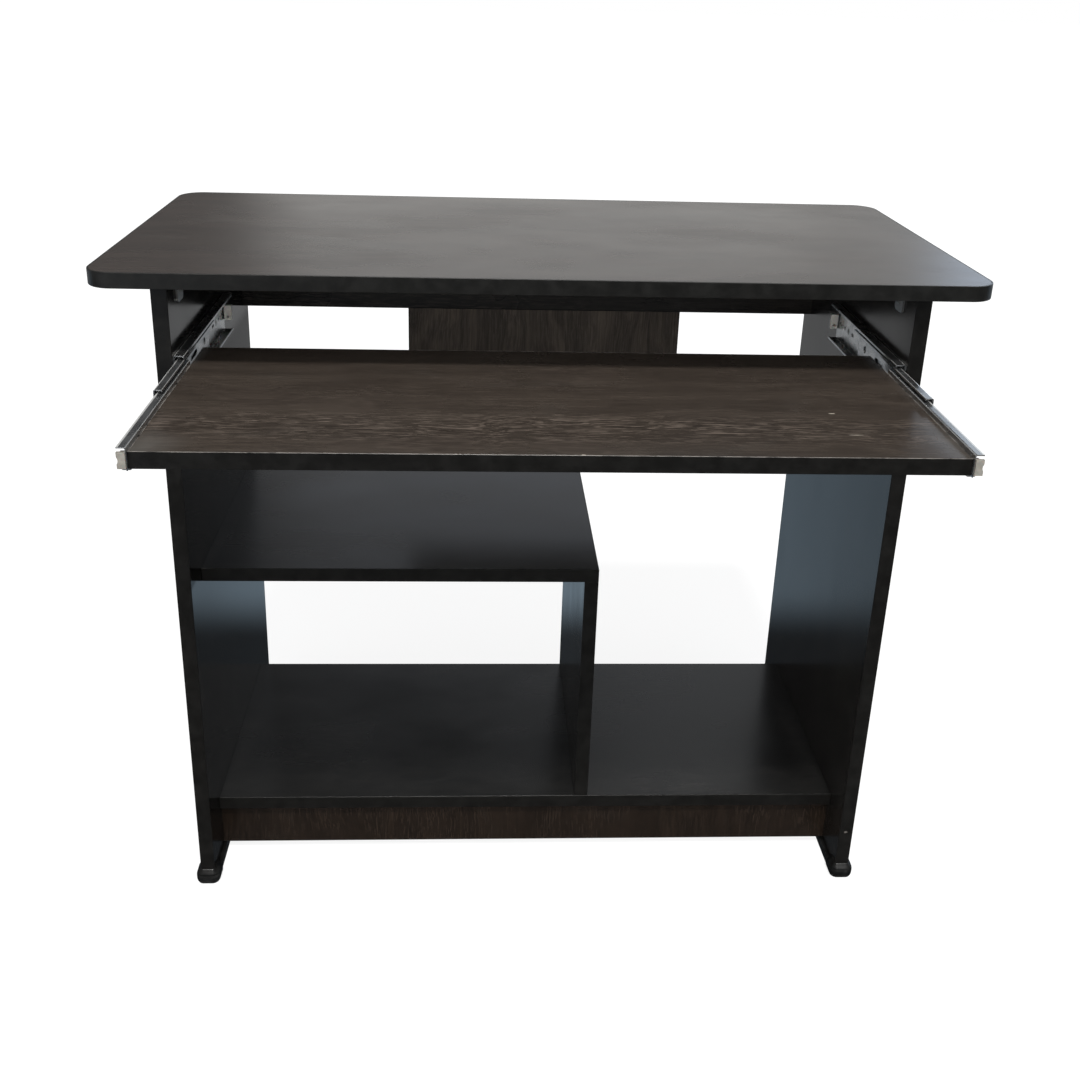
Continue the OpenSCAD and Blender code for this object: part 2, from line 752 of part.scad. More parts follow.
module balls(side, ball_u, ball_z, ball_r, y0, length, count) {
    pitch = (length - 12) / (count - 1);
    color(ZINC) slide_frame(side)
        for (i = [0:count - 1], s = [-1, 1])
            translate([ball_u, y0 + 6 + i * pitch, s * ball_z]) sphere(ball_r);
}
outer_ball_count = 5;
inner_ball_count = 4;
module outer_cage(side) ball_cage(side, outer_cage_u, outer_ball_u, outer_ball_z, outer_ball_r,
    outer_cage_y, outer_cage_len, outer_ball_count);
module inner_cage(side) ball_cage(side, inner_cage_u, inner_ball_u, inner_ball_z, inner_ball_r,
    inner_cage_y, inner_cage_len, inner_ball_count);
module outer_balls(side) balls(side, outer_ball_u, outer_ball_z, outer_ball_r,
    outer_cage_y, outer_cage_len, outer_ball_count);
module inner_balls(side) balls(side, inner_ball_u, inner_ball_z, inner_ball_r,
    inner_cage_y, inner_cage_len, inner_ball_count);

// Tray board, as wide as the slides leave room for
tray_x = inner_x - slide_t;
module keyboard_tray() {
    color(WENGE) difference() {
        span([-tray_x + band_t, tray_y + band_t, tray_z],
            [tray_x - band_t, tray_y + tray_d - band_t, tray_z + board_t]);
        at_tray_slide_screws() flat_screw(slide_screw_len, screw_r, over, pin_fit);
    }
}

module tray_edge_band() {
    color(BAND) difference() {
        span([-tray_x, tray_y, tray_z], [tray_x, tray_y + tray_d, tray_z + board_t]);
        span([-tray_x + band_t, tray_y + band_t, tray_z - over],
            [tray_x - band_t, tray_y + tray_d - band_t, tray_z + board_t + over]);
        at_tray_slide_screws() flat_screw(slide_screw_len, screw_r, over, pin_fit);
    }
}

place() desktop();
place() desktop_edge_band();
place() side_panel(-1);  // left_side_panel
place() side_panel(1);  // right_side_panel
place() side_panel_bands(-1);  // left_panel_edge_bands
place() side_panel_bands(1);  // right_panel_edge_bands
place() back_rail();
place() back_rail_edge_band();
place() centre_back_panel();
place() centre_panel_edge_bands();
place() bottom_shelf();
place() bottom_shelf_edge_band();
place() front_plinth();
place() plinth_edge_band();
place() middle_shelf();
place() middle_shelf_edge_bands();
place() divider_panel();
place() divider_edge_band();
place() corner_brackets();
place() corner_bracket_screws();
place() shelf_brackets();
place() shelf_bracket_screws();
place() confirmat_screws();
place() screw_covers();
place() wooden_dowels();
place() back_panel_screws();
place() color(BLACK) at_shoe(-1, false) shoe();  // front_left_shoe
place() color(BLACK) at_shoe(1, false) shoe();  // front_right_shoe
place() color(BLACK) at_shoe(-1, true) shoe();  // rear_left_shoe
place() color(BLACK) at_shoe(1, true) shoe();  // rear_right_shoe
place() shoe_screws();
place() slide_outer(-1);  // left_slide_outer
place() slide_outer(1);  // right_slide_outer
place() slide_bumper(-1);  // left_slide_bumper
place() slide_bumper(1);  // right_slide_bumper
place() slide_to_panel_screws();
place() slide_middle(-1);  // left_slide_middle
place() slide_middle(1);  // right_slide_middle
place() outer_cage(-1);  // left_outer_cage
place() outer_cage(1);  // right_outer_cage
place() outer_balls(-1);  // left_outer_balls
place() outer_balls(1);  // right_outer_balls
place() inner_cage(-1);  // left_inner_cage
place() inner_cage(1);  // right_inner_cage
place() inner_balls(-1);  // left_inner_balls
place() inner_balls(1);  // right_inner_balls
place() keyboard_tray();
place() tray_edge_band();
place() slide_inner(-1);  // left_slide_inner
place() slide_inner(1);  // right_slide_inner
place() slide_cap(-1);  // left_slide_cap
place() slide_cap(1);  // right_slide_cap
place() slide_to_tray_screws();
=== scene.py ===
"""Dresses a wenge-laminated computer desk with a pull-out keyboard tray, in metres, Z up, Y to the back."""
import logging
import math
from dataclasses import dataclass, field
from enum import Enum
from typing import Iterable, Sequence

import bmesh
import bpy
from mathutils import Matrix, Vector


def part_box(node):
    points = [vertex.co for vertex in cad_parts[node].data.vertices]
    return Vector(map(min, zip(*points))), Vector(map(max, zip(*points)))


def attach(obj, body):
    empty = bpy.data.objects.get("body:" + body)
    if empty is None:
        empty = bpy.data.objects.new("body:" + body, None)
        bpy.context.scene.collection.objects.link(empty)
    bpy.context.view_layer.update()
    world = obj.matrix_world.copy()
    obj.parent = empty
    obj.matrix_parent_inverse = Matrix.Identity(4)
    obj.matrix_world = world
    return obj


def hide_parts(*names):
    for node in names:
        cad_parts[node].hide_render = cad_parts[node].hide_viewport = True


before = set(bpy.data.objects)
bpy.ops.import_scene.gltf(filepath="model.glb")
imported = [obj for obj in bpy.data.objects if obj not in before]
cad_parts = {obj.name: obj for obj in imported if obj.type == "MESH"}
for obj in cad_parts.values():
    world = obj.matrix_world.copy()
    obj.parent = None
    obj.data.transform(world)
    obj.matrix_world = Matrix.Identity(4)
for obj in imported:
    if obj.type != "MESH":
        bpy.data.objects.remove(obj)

log = logging.getLogger("computer_desk")

Colour = tuple[float, float, float]
Levels = tuple[tuple[float, Colour], ...]
Ends = tuple[float, float]
Ring = list[tuple[Vector, Vector]]
Section = list[tuple[float, float]]
Socket = bpy.types.NodeSocket
Material = bpy.types.Material
BMesh = bmesh.types.BMesh

MM = 0.001
SEED = 7

# CAD points nearer than this are merged
WELD = 0.002 * MM

# An arris stays within this share of a block's least side
ARRIS_LIMIT = 0.45

# The side panels' front edges lie at this Y
PANEL_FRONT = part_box("left_panel_edge_bands")[0].y


def grey(level: float) -> Colour:
    """A neutral colour."""
    return (level, level, level)


def scaled(colour: Colour, share: float) -> Colour:
    """A colour with each part multiplied by a share."""
    return tuple(share * part for part in colour)


def quarter_turn(start: float, steps: int, way: int = 1) -> list[tuple[float, float]]:
    """The cosines and sines through a quarter turn from an angle in degrees, clockwise where way is -1."""
    angles = [math.radians(start + way * 90 * i / steps) for i in range(steps + 1)]
    return [(math.cos(angle), math.sin(angle)) for angle in angles]


def points_box(points: Iterable[Vector]) -> tuple[Vector, Vector]:
    """The lowest and the highest corner of some points' box."""
    parts = list(zip(*points))
    return Vector([min(part) for part in parts]), Vector([max(part) for part in parts])


def add_object(name: str, data: bpy.types.ID) -> bpy.types.Object:
    """Puts an object into the scene, at the origin.

    Args:
        name: its name.
        data: its mesh, lamp or camera.

    Returns:
        The new object.
    """
    made = bpy.data.objects.new(name, data)
    bpy.context.scene.collection.objects.link(made)
    return made


class Grain(Enum):
    """The direction in which a board's grain runs."""

    ALONG_X = (1, 0, 0)
    ALONG_Z = (0, 0, 1)


@dataclass(frozen=True)
class Mark:
    """A place on the desk: the middle and the half axes of an ellipsoid."""

    centre: tuple[float, float, float]
    size: tuple[float, float, float]


class Tree:
    """A node tree that is written one node at a time."""

    prefix = ""

    def __init__(self, tree: bpy.types.NodeTree) -> None:
        """Takes the tree to write in."""
        self.tree = tree

    def node(self, kind: str, links: dict | None = None, **settings: object) -> bpy.types.Node:
        """Adds a node.

        Args:
            kind: its type, without the prefix.
            links: sockets, values or colours for its inputs, by name or number.
            settings: its own properties.

        Returns:
            The new node.
        """
        made = self.tree.nodes.new(self.prefix + kind)
        for name, value in settings.items():
            setattr(made, name, value)
        for key, value in (links or {}).items():
            if isinstance(value, Socket):
                self.tree.links.new(value, made.inputs[key])
            elif made.inputs[key].type == "RGBA":
                made.inputs[key].default_value = (*value, 1.0)
            else:
                made.inputs[key].default_value = value
        return made

    def first(self, kind: str, links: dict | None = None, **settings: object) -> Socket:
        """Adds a node and gives its first output."""
        return self.node(kind, links, **settings).outputs[0]


class Graph(Tree):
    """A material's or world's tree."""

    prefix = "ShaderNode"

    def __init__(self, tree: bpy.types.NodeTree, place: str = "Object") -> None:
        """Empties the tree.

        Args:
            tree: a material's or world's node tree.
            place: the texture coordinate that its patterns use.
        """
        super().__init__(tree)
        self.tree.nodes.clear()
        self.coords = self.node("TexCoord").outputs[place]

    def axes(self) -> Sequence[Socket]:
        """The X, Y and Z of the coordinates."""
        return self.node("SeparateXYZ", {0: self.coords}).outputs

    def noise(self, vector: Socket, detail: float, rough: float = 0.5, warp: float = 0.0) -> Socket:
        """A noise pattern on scaled coordinates, with the detail, roughness and warp of its octaves."""
        links = {"Vector": vector, "Scale": 1.0, "Detail": detail, "Roughness": rough, "Distortion": warp}
        return self.first("TexNoise", links)

    def step(
        self, value: Socket, low: float, high: float, out_low: float = 0.0, out_high: float = 1.0
    ) -> Socket:
        """A smooth step of a value from out_low at low to out_high at high."""
        links = {"Value": value, 1: low, 2: high, 3: out_low, 4: out_high}
        return self.first("MapRange", links, interpolation_type="SMOOTHSTEP")

    def math(self, operation: str, first: object, second: object = 0.0) -> Socket:
        """One step of arithmetic on values or sockets."""
        return self.first("Math", {0: first, 1: second}, operation=operation)

    def times(self, first: object, second: object) -> Socket:
        """The product of two values or sockets."""
        return self.math("MULTIPLY", first, second)

    def plus(self, first: object, second: object) -> Socket:
        """The sum of two values or sockets."""
        return self.math("ADD", first, second)

    def mix(self, share: object, first: object, second: object) -> Socket:
        """A mix of two colours, each a tuple or a socket, by the second one's share."""
        return self.node("Mix", {0: share, 6: first, 7: second}, data_type="RGBA").outputs[2]


class ShaderGraph(Graph):
    """A material on a Principled shader."""

    def __init__(self, name: str) -> None:
        """Starts the material.

        Args:
            name: the material's name.
        """
        self.material = bpy.data.materials.new(name)
        self.material.use_nodes = True
        super().__init__(self.material.node_tree)
        self.shader = self.node("BsdfPrincipled")
        self.node("OutputMaterial", {0: self.shader.outputs[0]})

    def set(self, **values: float) -> None:
        """Sets the shader's own sockets, with underscores for the spaces in their names."""
        for name, value in values.items():
            self.shader.inputs[name.replace("_", " ")].default_value = value

    def feed(self, name: str, source: Socket) -> None:
        """Links a value that varies over the surface to one of the shader's sockets."""
        self.tree.links.new(source, self.shader.inputs[name])

    def stretched(self, scale: Sequence[float], shift: Sequence[float] = (0, 0, 0)) -> Socket:
        """The coordinates, moved by a shift in metres and then scaled to repeats per metre."""
        moved = self.first("VectorMath", {0: self.coords, 1: tuple(shift)}, operation="ADD")
        return self.first("VectorMath", {0: moved, 1: tuple(scale)}, operation="MULTIPLY")

    def distance(self, mark: Mark) -> Socket:
        """The distance from a mark's middle, in units of its half axes."""
        place = self.stretched([1 / s for s in mark.size], [-c for c in mark.centre])
        return self.node("VectorMath", {0: place}, operation="LENGTH").outputs["Value"]

    def spot(self, mark: Mark, ragged: float = 0.35) -> Socket:
        """A mask that is 1 in a mark and 0 outside it, with a ragged outline."""
        wobble = self.times(self.noise(self.stretched((900, 900, 900)), 2.0), 2 * ragged)
        return self.step(self.plus(self.distance(mark), wobble), 1.0 + ragged, 0.85 + ragged)

    def zone(self, mark: Mark) -> Socket:
        """A soft mask that fades out of a mark."""
        return self.step(self.distance(mark), 1.4, 0.4)

    def bump(self, height: Socket, distance: float, strength: float, rounding: float = 0.0) -> None:
        """Feeds a height to the shader's normal.

        Args:
            height: the relief.
            distance: the height in metres of a value of 1.
            strength: the share of the relief that shows.
            rounding: the radius at which edges are shaded round.
        """
        links = {"Height": height, "Distance": distance, "Strength": strength}
        if rounding:
            links["Normal"] = self.first("Bevel", {"Radius": rounding}, samples=6)
        self.feed("Normal", self.first("Bump", links))


@dataclass(frozen=True)
class WengeLaminate:
    """Printed wenge laminate with an embossed pore texture.

    The grain's colours run from dark to brown, with pale wisps: the pores' ticks, partly print and partly
    painted glint off the embossed pores. The dashes are zones where wisps crowd, the patches are dusty
    zones, the marks are nicks down to the board's core, and dull_between is a range of heights with little
    gloss.
    """

    name: str
    grain: Grain
    dark: Colour
    brown: Colour
    dust: float
    wisp: Colour = (0.17, 0.125, 0.11)
    core: Colour = (0.62, 0.56, 0.47)
    dust_colour: Colour = (0.20, 0.20, 0.185)
    roughness: float = 0.24
    specular: float = 0.5
    wisps: float = 0.5
    shift: tuple[float, float, float] = (0.0, 0.0, 0.0)
    marks: tuple[Mark, ...] = ()
    patches: tuple[Mark, ...] = ()
    dashes: tuple[Mark, ...] = ()
    relief: float = 0.6
    pore_depth: float = 0.05 * MM
    dull_between: Ends | None = None
    dull_gloss: float = 0.15

    def stretch(self, along: float, across: float) -> tuple[float, float, float]:
        """Scales for a pattern with its repeats per metre along and across the grain."""
        return tuple(along if part else across for part in self.grain.value)

    def bent(self, g: ShaderGraph, along: float, across: float, bend: float) -> Socket:
        """Makes coordinates that sway slowly sideways, as printed grain does.

        Args:
            g: the material's graph.
            along: repeats per metre along the grain.
            across: repeats per metre across it.
            bend: the sway in metres.

        Returns:
            The coordinates.
        """
        sway = g.noise(g.stretched((13, 13, 13), self.shift), 1.0)
        sway = g.times(g.math("SUBTRACT", sway, 0.5), bend * across)
        plain = g.stretched(self.stretch(along, across), self.shift)
        push = g.first("VectorMath", {0: self.stretch(0.0, 1.0), "Scale": sway}, operation="SCALE")
        return g.first("VectorMath", {0: plain, 1: push}, operation="ADD")

    def dashed(self, g: ShaderGraph, colour: Socket, figure: Socket, patch: Socket) -> tuple[Socket, Socket]:
        """Strews pale wisps, partly print and partly painted glint, closer together in the dashed zones.

        Args:
            g: the material's graph.
            colour: the ground.
            figure: the broad figure.
            patch: the slow change from place to place.

        Returns:
            The new colour and the wisps' mask.
        """
        short = g.noise(self.bent(g, 50, 640, 0.012), 2.0, 0.5, 0.3)
        long = g.noise(self.bent(g, 24, 560, 0.016), 2.0, 0.5, 0.2)
        thick = g.times(g.plus(g.step(patch, 0.40, 0.66), 0.25), self.wisps)
        for area in self.dashes:
            crowd = g.times(g.zone(area), g.step(figure, 0.3, 0.6, 0.35, 1.0))
            thick = g.plus(thick, crowd)
            gap = g.times(g.step(long, 0.45, 0.38), 0.45)
            colour = g.mix(g.times(crowd, gap), colour, grey(0.0))
        # The pale wisps are the pores' ticks: partly print, partly painted glint.
        wisps = g.math("MAXIMUM", g.step(short, 0.57, 0.64), g.step(long, 0.58, 0.65))
        wisps = g.times(wisps, g.math("MINIMUM", thick, 1.0))
        return g.mix(wisps, colour, self.wisp), wisps

    def gloss(self, g: ShaderGraph) -> None:
        """Sets the gloss, which nearly goes out between the dull heights.

        Args:
            g: the material's graph.
        """
        g.set(Specular_IOR_Level=self.specular)
        if self.dull_between is not None:
            low, high = self.dull_between
            height = g.axes()[2]
            dull = g.times(g.step(height, low, low + 10 * MM), g.step(height, high, high - 40 * MM))
            level = g.step(dull, 0.0, 1.0, self.specular, self.dull_gloss * self.specular)
            g.feed("Specular IOR Level", level)

    def material(self) -> Material:
        """Builds the laminate: broad figure, fine streaks, pale wisps, dust and marks.

        Returns:
            The finish.
        """
        g = ShaderGraph(self.name)
        figure = g.noise(self.bent(g, 2.2, 40, 0.05), 2.0, 0.55, 0.4)
        streak = g.noise(self.bent(g, 9, 430, 0.012), 4.0, 0.65, 0.15)
        fine = g.noise(g.stretched(self.stretch(30, 1500), self.shift), 2.0)
        patch = g.noise(g.stretched((4.2, 7.5, 4.2), self.shift), 3.0, 0.6)
        share = g.times(g.step(figure, 0.36, 0.66), 0.4)
        share = g.plus(share, g.times(g.step(streak, 0.38, 0.66), 0.5))
        share = g.times(share, g.step(fine, 0.2, 0.75, 0.75, 1.2))
        colour, wisps = self.dashed(g, g.mix(share, self.dark, self.brown), figure, patch)
        smear = g.noise(g.stretched((6, 11, 6), self.shift), 5.0, 0.7, 1.2)
        dusty = g.times(g.step(smear, 0.50, 0.78), self.dust)
        for area in self.patches:
            soft = g.times(g.zone(area), g.step(smear, 0.25, 0.7, 0.3, 1.0))
            dusty = g.math("MAXIMUM", dusty, g.times(soft, 0.45))
        colour = g.mix(dusty, colour, self.dust_colour)
        for mark in self.marks:
            colour = g.mix(g.spot(mark), colour, self.core)
        g.feed("Base Color", colour)
        rough = g.plus(g.step(patch, 0.3, 0.7, -0.03, 0.05), g.times(dusty, 0.5))
        g.feed("Roughness", g.plus(rough, self.roughness))
        self.gloss(g)
        relief = g.math("SUBTRACT", g.times(streak, 0.35), g.times(wisps, 0.6))
        g.bump(relief, self.pore_depth, self.relief)
        return g.material


@dataclass(frozen=True)
class EdgeBand:
    """Brown-black plastic edge band with a faint grain, nicks and a paler upper arris above a height: wear
    and painted highlight.
    """

    name: str
    colour: Colour = (0.0065, 0.0060, 0.0053)
    nick: Colour = (0.11, 0.10, 0.09)
    wear_and_highlight: Colour = (0.32, 0.295, 0.27)
    roughness: float = 0.33
    specular: float = 0.42
    grit_depth: float = 0.02 * MM
    marks: tuple[Mark, ...] = ()
    wear_and_highlight_above: float | None = None

    def material(self) -> Material:
        """Builds the band: fine streaks, soft patches of wear, any nicks and the paler arris of wear and
        painted highlight.

        Returns:
            The finish.
        """
        g = ShaderGraph(self.name)
        streak = g.noise(g.stretched((60, 60, 60)), 5.0, 0.7)
        grit = g.noise(g.stretched((1400, 1400, 1400)), 2.0)
        colour = g.mix(g.step(streak, 0.35, 0.7), self.colour, scaled(self.colour, 1.7))
        for mark in self.marks:
            colour = g.mix(g.spot(mark), colour, self.nick)
        # The upper arris is painted paler: wear and painted highlight.
        if self.wear_and_highlight_above is not None:
            above = g.step(g.axes()[2], self.wear_and_highlight_above, self.wear_and_highlight_above + 0.3 * MM)
            colour = g.mix(g.times(above, g.step(streak, 0.3, 0.6)), colour, self.wear_and_highlight)
        g.feed("Base Color", colour)
        g.feed("Roughness", g.plus(g.step(streak, 0.3, 0.75, -0.05, 0.12), self.roughness))
        g.set(Specular_IOR_Level=self.specular)
        g.bump(grit, self.grit_depth, 0.5)
        return g.material


@dataclass(frozen=True)
class ZincPlate:
    """Bright zinc plating with drawing lines along the slide and cloudy patches.

    The rims are how far a slide member's near and far sides lie from the desk's middle plane; beside them,
    the flanges get painted highlight lines.
    """

    name: str
    colour: Colour
    roughness: float = 0.24
    metallic: float = 1.0
    rounding: float = 0.0
    line_depth: float = 0.02 * MM
    rims: Ends | None = None
    rubbed_and_highlight: Colour = (0.86, 0.86, 0.84)

    def material(self) -> Material:
        """Builds the plating: lines along Y, clouds in tone and gloss, greasy specks, and painted highlight
        lines beside any rims.

        Returns:
            The finish.
        """
        g = ShaderGraph(self.name)
        lines = g.noise(g.stretched((2600, 12, 2600)), 3.0, 0.6)
        cloud = g.noise(g.stretched((55, 30, 55)), 4.0, 0.65, 0.4)
        speck = g.noise(g.stretched((420, 300, 420)), 2.0)
        colour = g.mix(g.step(cloud, 0.35, 0.7), self.colour, scaled(self.colour, 0.86))
        colour = g.mix(g.times(g.step(speck, 0.66, 0.74), 0.7), colour, scaled(self.colour, 0.62))
        g.set(Metallic=self.metallic)
        # Pale, less metallic lines beside the rims are painted highlight.
        if self.rims is not None:
            bright = self.rim_highlights(g)
            colour = g.mix(bright, colour, self.rubbed_and_highlight)
            g.feed("Metallic", g.math("SUBTRACT", self.metallic, g.times(bright, 0.6)))
        g.feed("Base Color", colour)
        rough = g.plus(g.step(cloud, 0.3, 0.7, -0.06, 0.10), self.roughness)
        g.feed("Roughness", g.plus(rough, g.times(lines, 0.06)))
        g.bump(lines, self.line_depth, 0.4, self.rounding)
        return g.material

    def rim_highlights(self, g: ShaderGraph) -> Socket:
        """Masks the painted highlight lines along a member's flanges, beside its far and its near side.

        Args:
            g: the material's graph.

        Returns:
            1 on the lines and 0 elsewhere.
        """
        near, far = self.rims
        across = g.math("ABSOLUTE", g.axes()[0])
        outer = g.step(across, far - 2.0 * MM, far - 1.5 * MM)
        inner = g.times(g.step(across, near + 1.0 * MM, near + 0.6 * MM), 0.7)
        normal = g.node("NewGeometry").outputs["True Normal"]
        upright = g.math("ABSOLUTE", g.node("SeparateXYZ", {0: normal}).outputs[2])
        return g.times(g.math("MAXIMUM", outer, inner), g.step(upright, 0.4, 0.6))


@dataclass(frozen=True)
class Moulded:
    """Moulded plastic with a fine spark-eroded texture."""

    name: str
    colour: Colour
    roughness: float
    specular: float = 0.5
    cloudy: float = 0.0
    grain_depth: float = 0.03 * MM

    def material(self) -> Material:
        """Builds the plastic: a fine texture, slight tone changes and scuffed, paler high spots.

        Returns:
            The finish.
        """
        g = ShaderGraph(self.name)
        grain = g.noise(g.stretched((1800, 1800, 1800)), 2.0)
        patch = g.noise(g.stretched((90, 90, 90)), 4.0, 0.6)
        lighter = tuple(min(1.0, 1.35 * part + 0.01) for part in self.colour)
        g.feed("Base Color", g.mix(g.step(patch, 0.4, 0.75), self.colour, lighter))
        g.feed("Roughness", g.plus(g.step(patch, 0.3, 0.7, -0.08, 0.1), self.roughness))
        g.set(Specular_IOR_Level=self.specular)
        if self.cloudy:
            g.set(Subsurface_Weight=self.cloudy, Subsurface_Scale=2 * MM)
        g.bump(grain, self.grain_depth, 0.5)
        return g.material


@dataclass(frozen=True)
class TurnedBeech:
    """Plain beech, for the dowels."""

    name: str
    dark: Colour = (0.56, 0.38, 0.22)
    pale: Colour = (0.70, 0.52, 0.33)
    fleck: Colour = (0.42, 0.26, 0.15)
    line_depth: float = 0.05 * MM

    def material(self) -> Material:
        """Builds the wood: fine vertical lines and short flecks.

        Returns:
            The finish.
        """
        g = ShaderGraph(self.name)
        lines = g.noise(g.stretched((900, 900, 30)), 4.0, 0.6)
        fleck = g.noise(g.stretched((700, 700, 160)), 2.0)
        colour = g.mix(g.step(lines, 0.3, 0.7), self.dark, self.pale)
        g.feed("Base Color", g.mix(g.step(fleck, 0.6, 0.7), colour, self.fleck))
        g.feed("Roughness", g.step(lines, 0.3, 0.7, 0.5, 0.65))
        g.bump(lines, self.line_depth, 0.5)
        return g.material


def add_mesh(bm: BMesh, name: str, material: Material) -> bpy.types.Object:
    """Turns a bmesh into an object at the origin.

    Args:
        bm: the mesh under construction; it is freed.
        name: the piece's name.
        material: its finish.

    Returns:
        The new object.
    """
    bmesh.ops.recalc_face_normals(bm, faces=bm.faces)
    mesh = bpy.data.meshes.new(name)
    bm.to_mesh(mesh)
    bm.free()
    mesh.materials.append(material)
    return add_object(name, mesh)


def skin(bm: BMesh, rows: Sequence[Sequence[Vector]], closed: bool) -> None:
    """Joins rows of points, each of which goes round, into a skin.

    Args:
        bm: the mesh to add to.
        rows: the points of each row.
        closed: whether the last row joins the first one, or both are capped.
    """
    made = [[bm.verts.new(point) for point in row] for row in rows]
    for below, above in zip(made, made[1:] + (made[:1] if closed else [])):
        for i in range(len(below)):
            k = (i + 1) % len(below)
            bm.faces.new((below[i], below[k], above[k], above[i]))
    if not closed:
        bm.faces.new(made[0][::-1])
        bm.faces.new(made[-1])


def add_block(bm: BMesh, low: Vector, high: Vector, arris: float) -> None:
    """Adds a block with rounded arrises.

    Args:
        bm: the mesh to add to.
        low: the block's lowest corner.
        high: its highest corner.
        arris: the radius of its edges, as far as its least side allows.
    """
    place = Matrix.Translation((low + high) / 2) @ Matrix.Diagonal((*(high - low), 1.0))
    made = bmesh.ops.create_cube(bm, size=1.0, matrix=place)
    edges = {edge for vertex in made["verts"] for edge in vertex.link_edges}
    radius = min(arris, ARRIS_LIMIT * min(high - low))
    bmesh.ops.bevel(bm, geom=list(edges), offset=radius, segments=3, profile=0.5, affect="EDGES")


def islands(node: str) -> list[list[Vector]]:
    """Takes a CAD node apart.

    Args:
        node: the node's name.

    Returns:
        The corners of each of its separate solids, in a fixed order.
    """
    bm = bmesh.new()
    bm.from_mesh(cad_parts[node].data)
    bmesh.ops.remove_doubles(bm, verts=bm.verts, dist=WELD)
    left, groups = set(bm.verts), []
    while left:
        group, rim = [], [left.pop()]
        while rim:
            vertex = rim.pop()
            group.append(vertex.co.copy())
            near = {edge.other_vert(vertex) for edge in vertex.link_edges} & left
            left -= near
            rim += near
        groups.append(group)
    bm.free()
    return sorted(groups, key=lambda points: tuple(round(c, 5) for c in points_box(points)[0]))


@dataclass
class Board:
    """One board or strip of edge band, made anew with rounded arrises in its node's own space."""

    node: str
    body: str
    slot: str
    material: Material
    arris: float = 0.12 * MM

    def build(self) -> None:
        """Builds each solid of the node as a block."""
        bm = bmesh.new()
        for points in islands(self.node):
            add_block(bm, *points_box(points), self.arris)
        self.mount(bm)

    def mount(self, bm: BMesh) -> None:
        """Finishes a mesh as this board's piece, which rides on its body.

        Args:
            bm: the mesh under construction.
        """
        piece = add_mesh(bm, self.node + "_piece", self.material)
        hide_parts(self.node)
        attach(piece, self.body)
        log.info("board %s", piece.name)


@dataclass
class Frieze(Board):
    """Edge band in several straight strips that butt at the corners."""

    core: str = ""
    sides: tuple[str, ...] = ()

    def build(self) -> None:
        """Builds a strip on each banded side of the core board."""
        start, end = (Vector(corner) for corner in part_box(self.node))
        inner_low, inner_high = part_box(self.core)
        bm = bmesh.new()
        for side in self.sides:
            axis = "xyz".index(side[0])
            low, high = start.copy(), end.copy()
            if side[1] == "+":
                low[axis] = inner_high[axis]
                end[axis] = inner_high[axis]
            else:
                high[axis] = inner_low[axis]
                start[axis] = inner_low[axis]
            add_block(bm, low, high, self.arris)
        self.mount(bm)


@dataclass
class Desktop:
    """The desktop: a laminated board with round corners inside a thick edge band."""

    laminate: Material
    band: Material
    corner_radius: float = 28 * MM
    band_arris: float = 0.7 * MM
    seam: float = 0.15 * MM
    corner_steps: int = 14
    arc_steps: int = 3

    def outline(self, low: Vector, high: Vector, radius: float) -> Ring:
        """Goes round a rectangle with round corners.

        Args:
            low: its lowest corner.
            high: its highest corner.
            radius: the radius of its corners.

        Returns:
            The outline's points, each with its outward direction.
        """
        ring = []
        right, left, back, front = high.x - radius, low.x + radius, high.y - radius, low.y + radius
        for quarter, (x, y) in enumerate(((right, back), (left, back), (left, front), (right, front))):
            for dx, dy in quarter_turn(90 * quarter, self.corner_steps):
                out = Vector((dx, dy, 0))
                ring.append((Vector((x, y, 0)) + out * radius, out))
        return ring

    def sweep(self, ring: Ring, section: Section, closed: bool) -> BMesh:
        """Takes a section round the outline.

        Args:
            ring: the outline's points and directions.
            section: the section's points, outward and up.
            closed: whether the section closes on itself.

        Returns:
            The mesh.
        """
        bm = bmesh.new()
        rows = [[point + out * o + Vector((0, 0, z)) for point, out in ring] for o, z in section]
        skin(bm, rows, closed)
        return bm

    def arc(self, out: float, up: float, start: float) -> Section:
        """An arris of the section about a centre, clockwise through a quarter turn from an angle."""
        turn = quarter_turn(start, self.arc_steps, -1)
        return [(out + self.band_arris * dx, up + self.band_arris * dy) for dx, dy in turn]

    def build(self) -> None:
        """Builds the board and its band."""
        low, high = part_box("desktop_edge_band")
        core_low, core_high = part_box("desktop")
        width = core_low.x - low.x
        bottom, top = low.z, high.z
        low_seam, high_seam = bottom + self.seam, top - self.seam
        ring = self.outline(core_low, core_high, self.corner_radius - width)
        section = [(-self.seam, bottom), (0, low_seam), (0, high_seam), (-self.seam, top)]
        board = Board("desktop", "carcass", "wenge_laminate", self.laminate)
        board.mount(self.sweep(ring, section, closed=False))
        section = [(0, high_seam), (self.seam, top)]
        section += self.arc(width - self.band_arris, top - self.band_arris, 90)
        section += self.arc(width - self.band_arris, bottom + self.band_arris, 0)
        section += [(self.seam, bottom), (0, low_seam)]
        band = Board("desktop_edge_band", "carcass", "black_edge_band", self.band)
        band.mount(self.sweep(ring, section, closed=True))


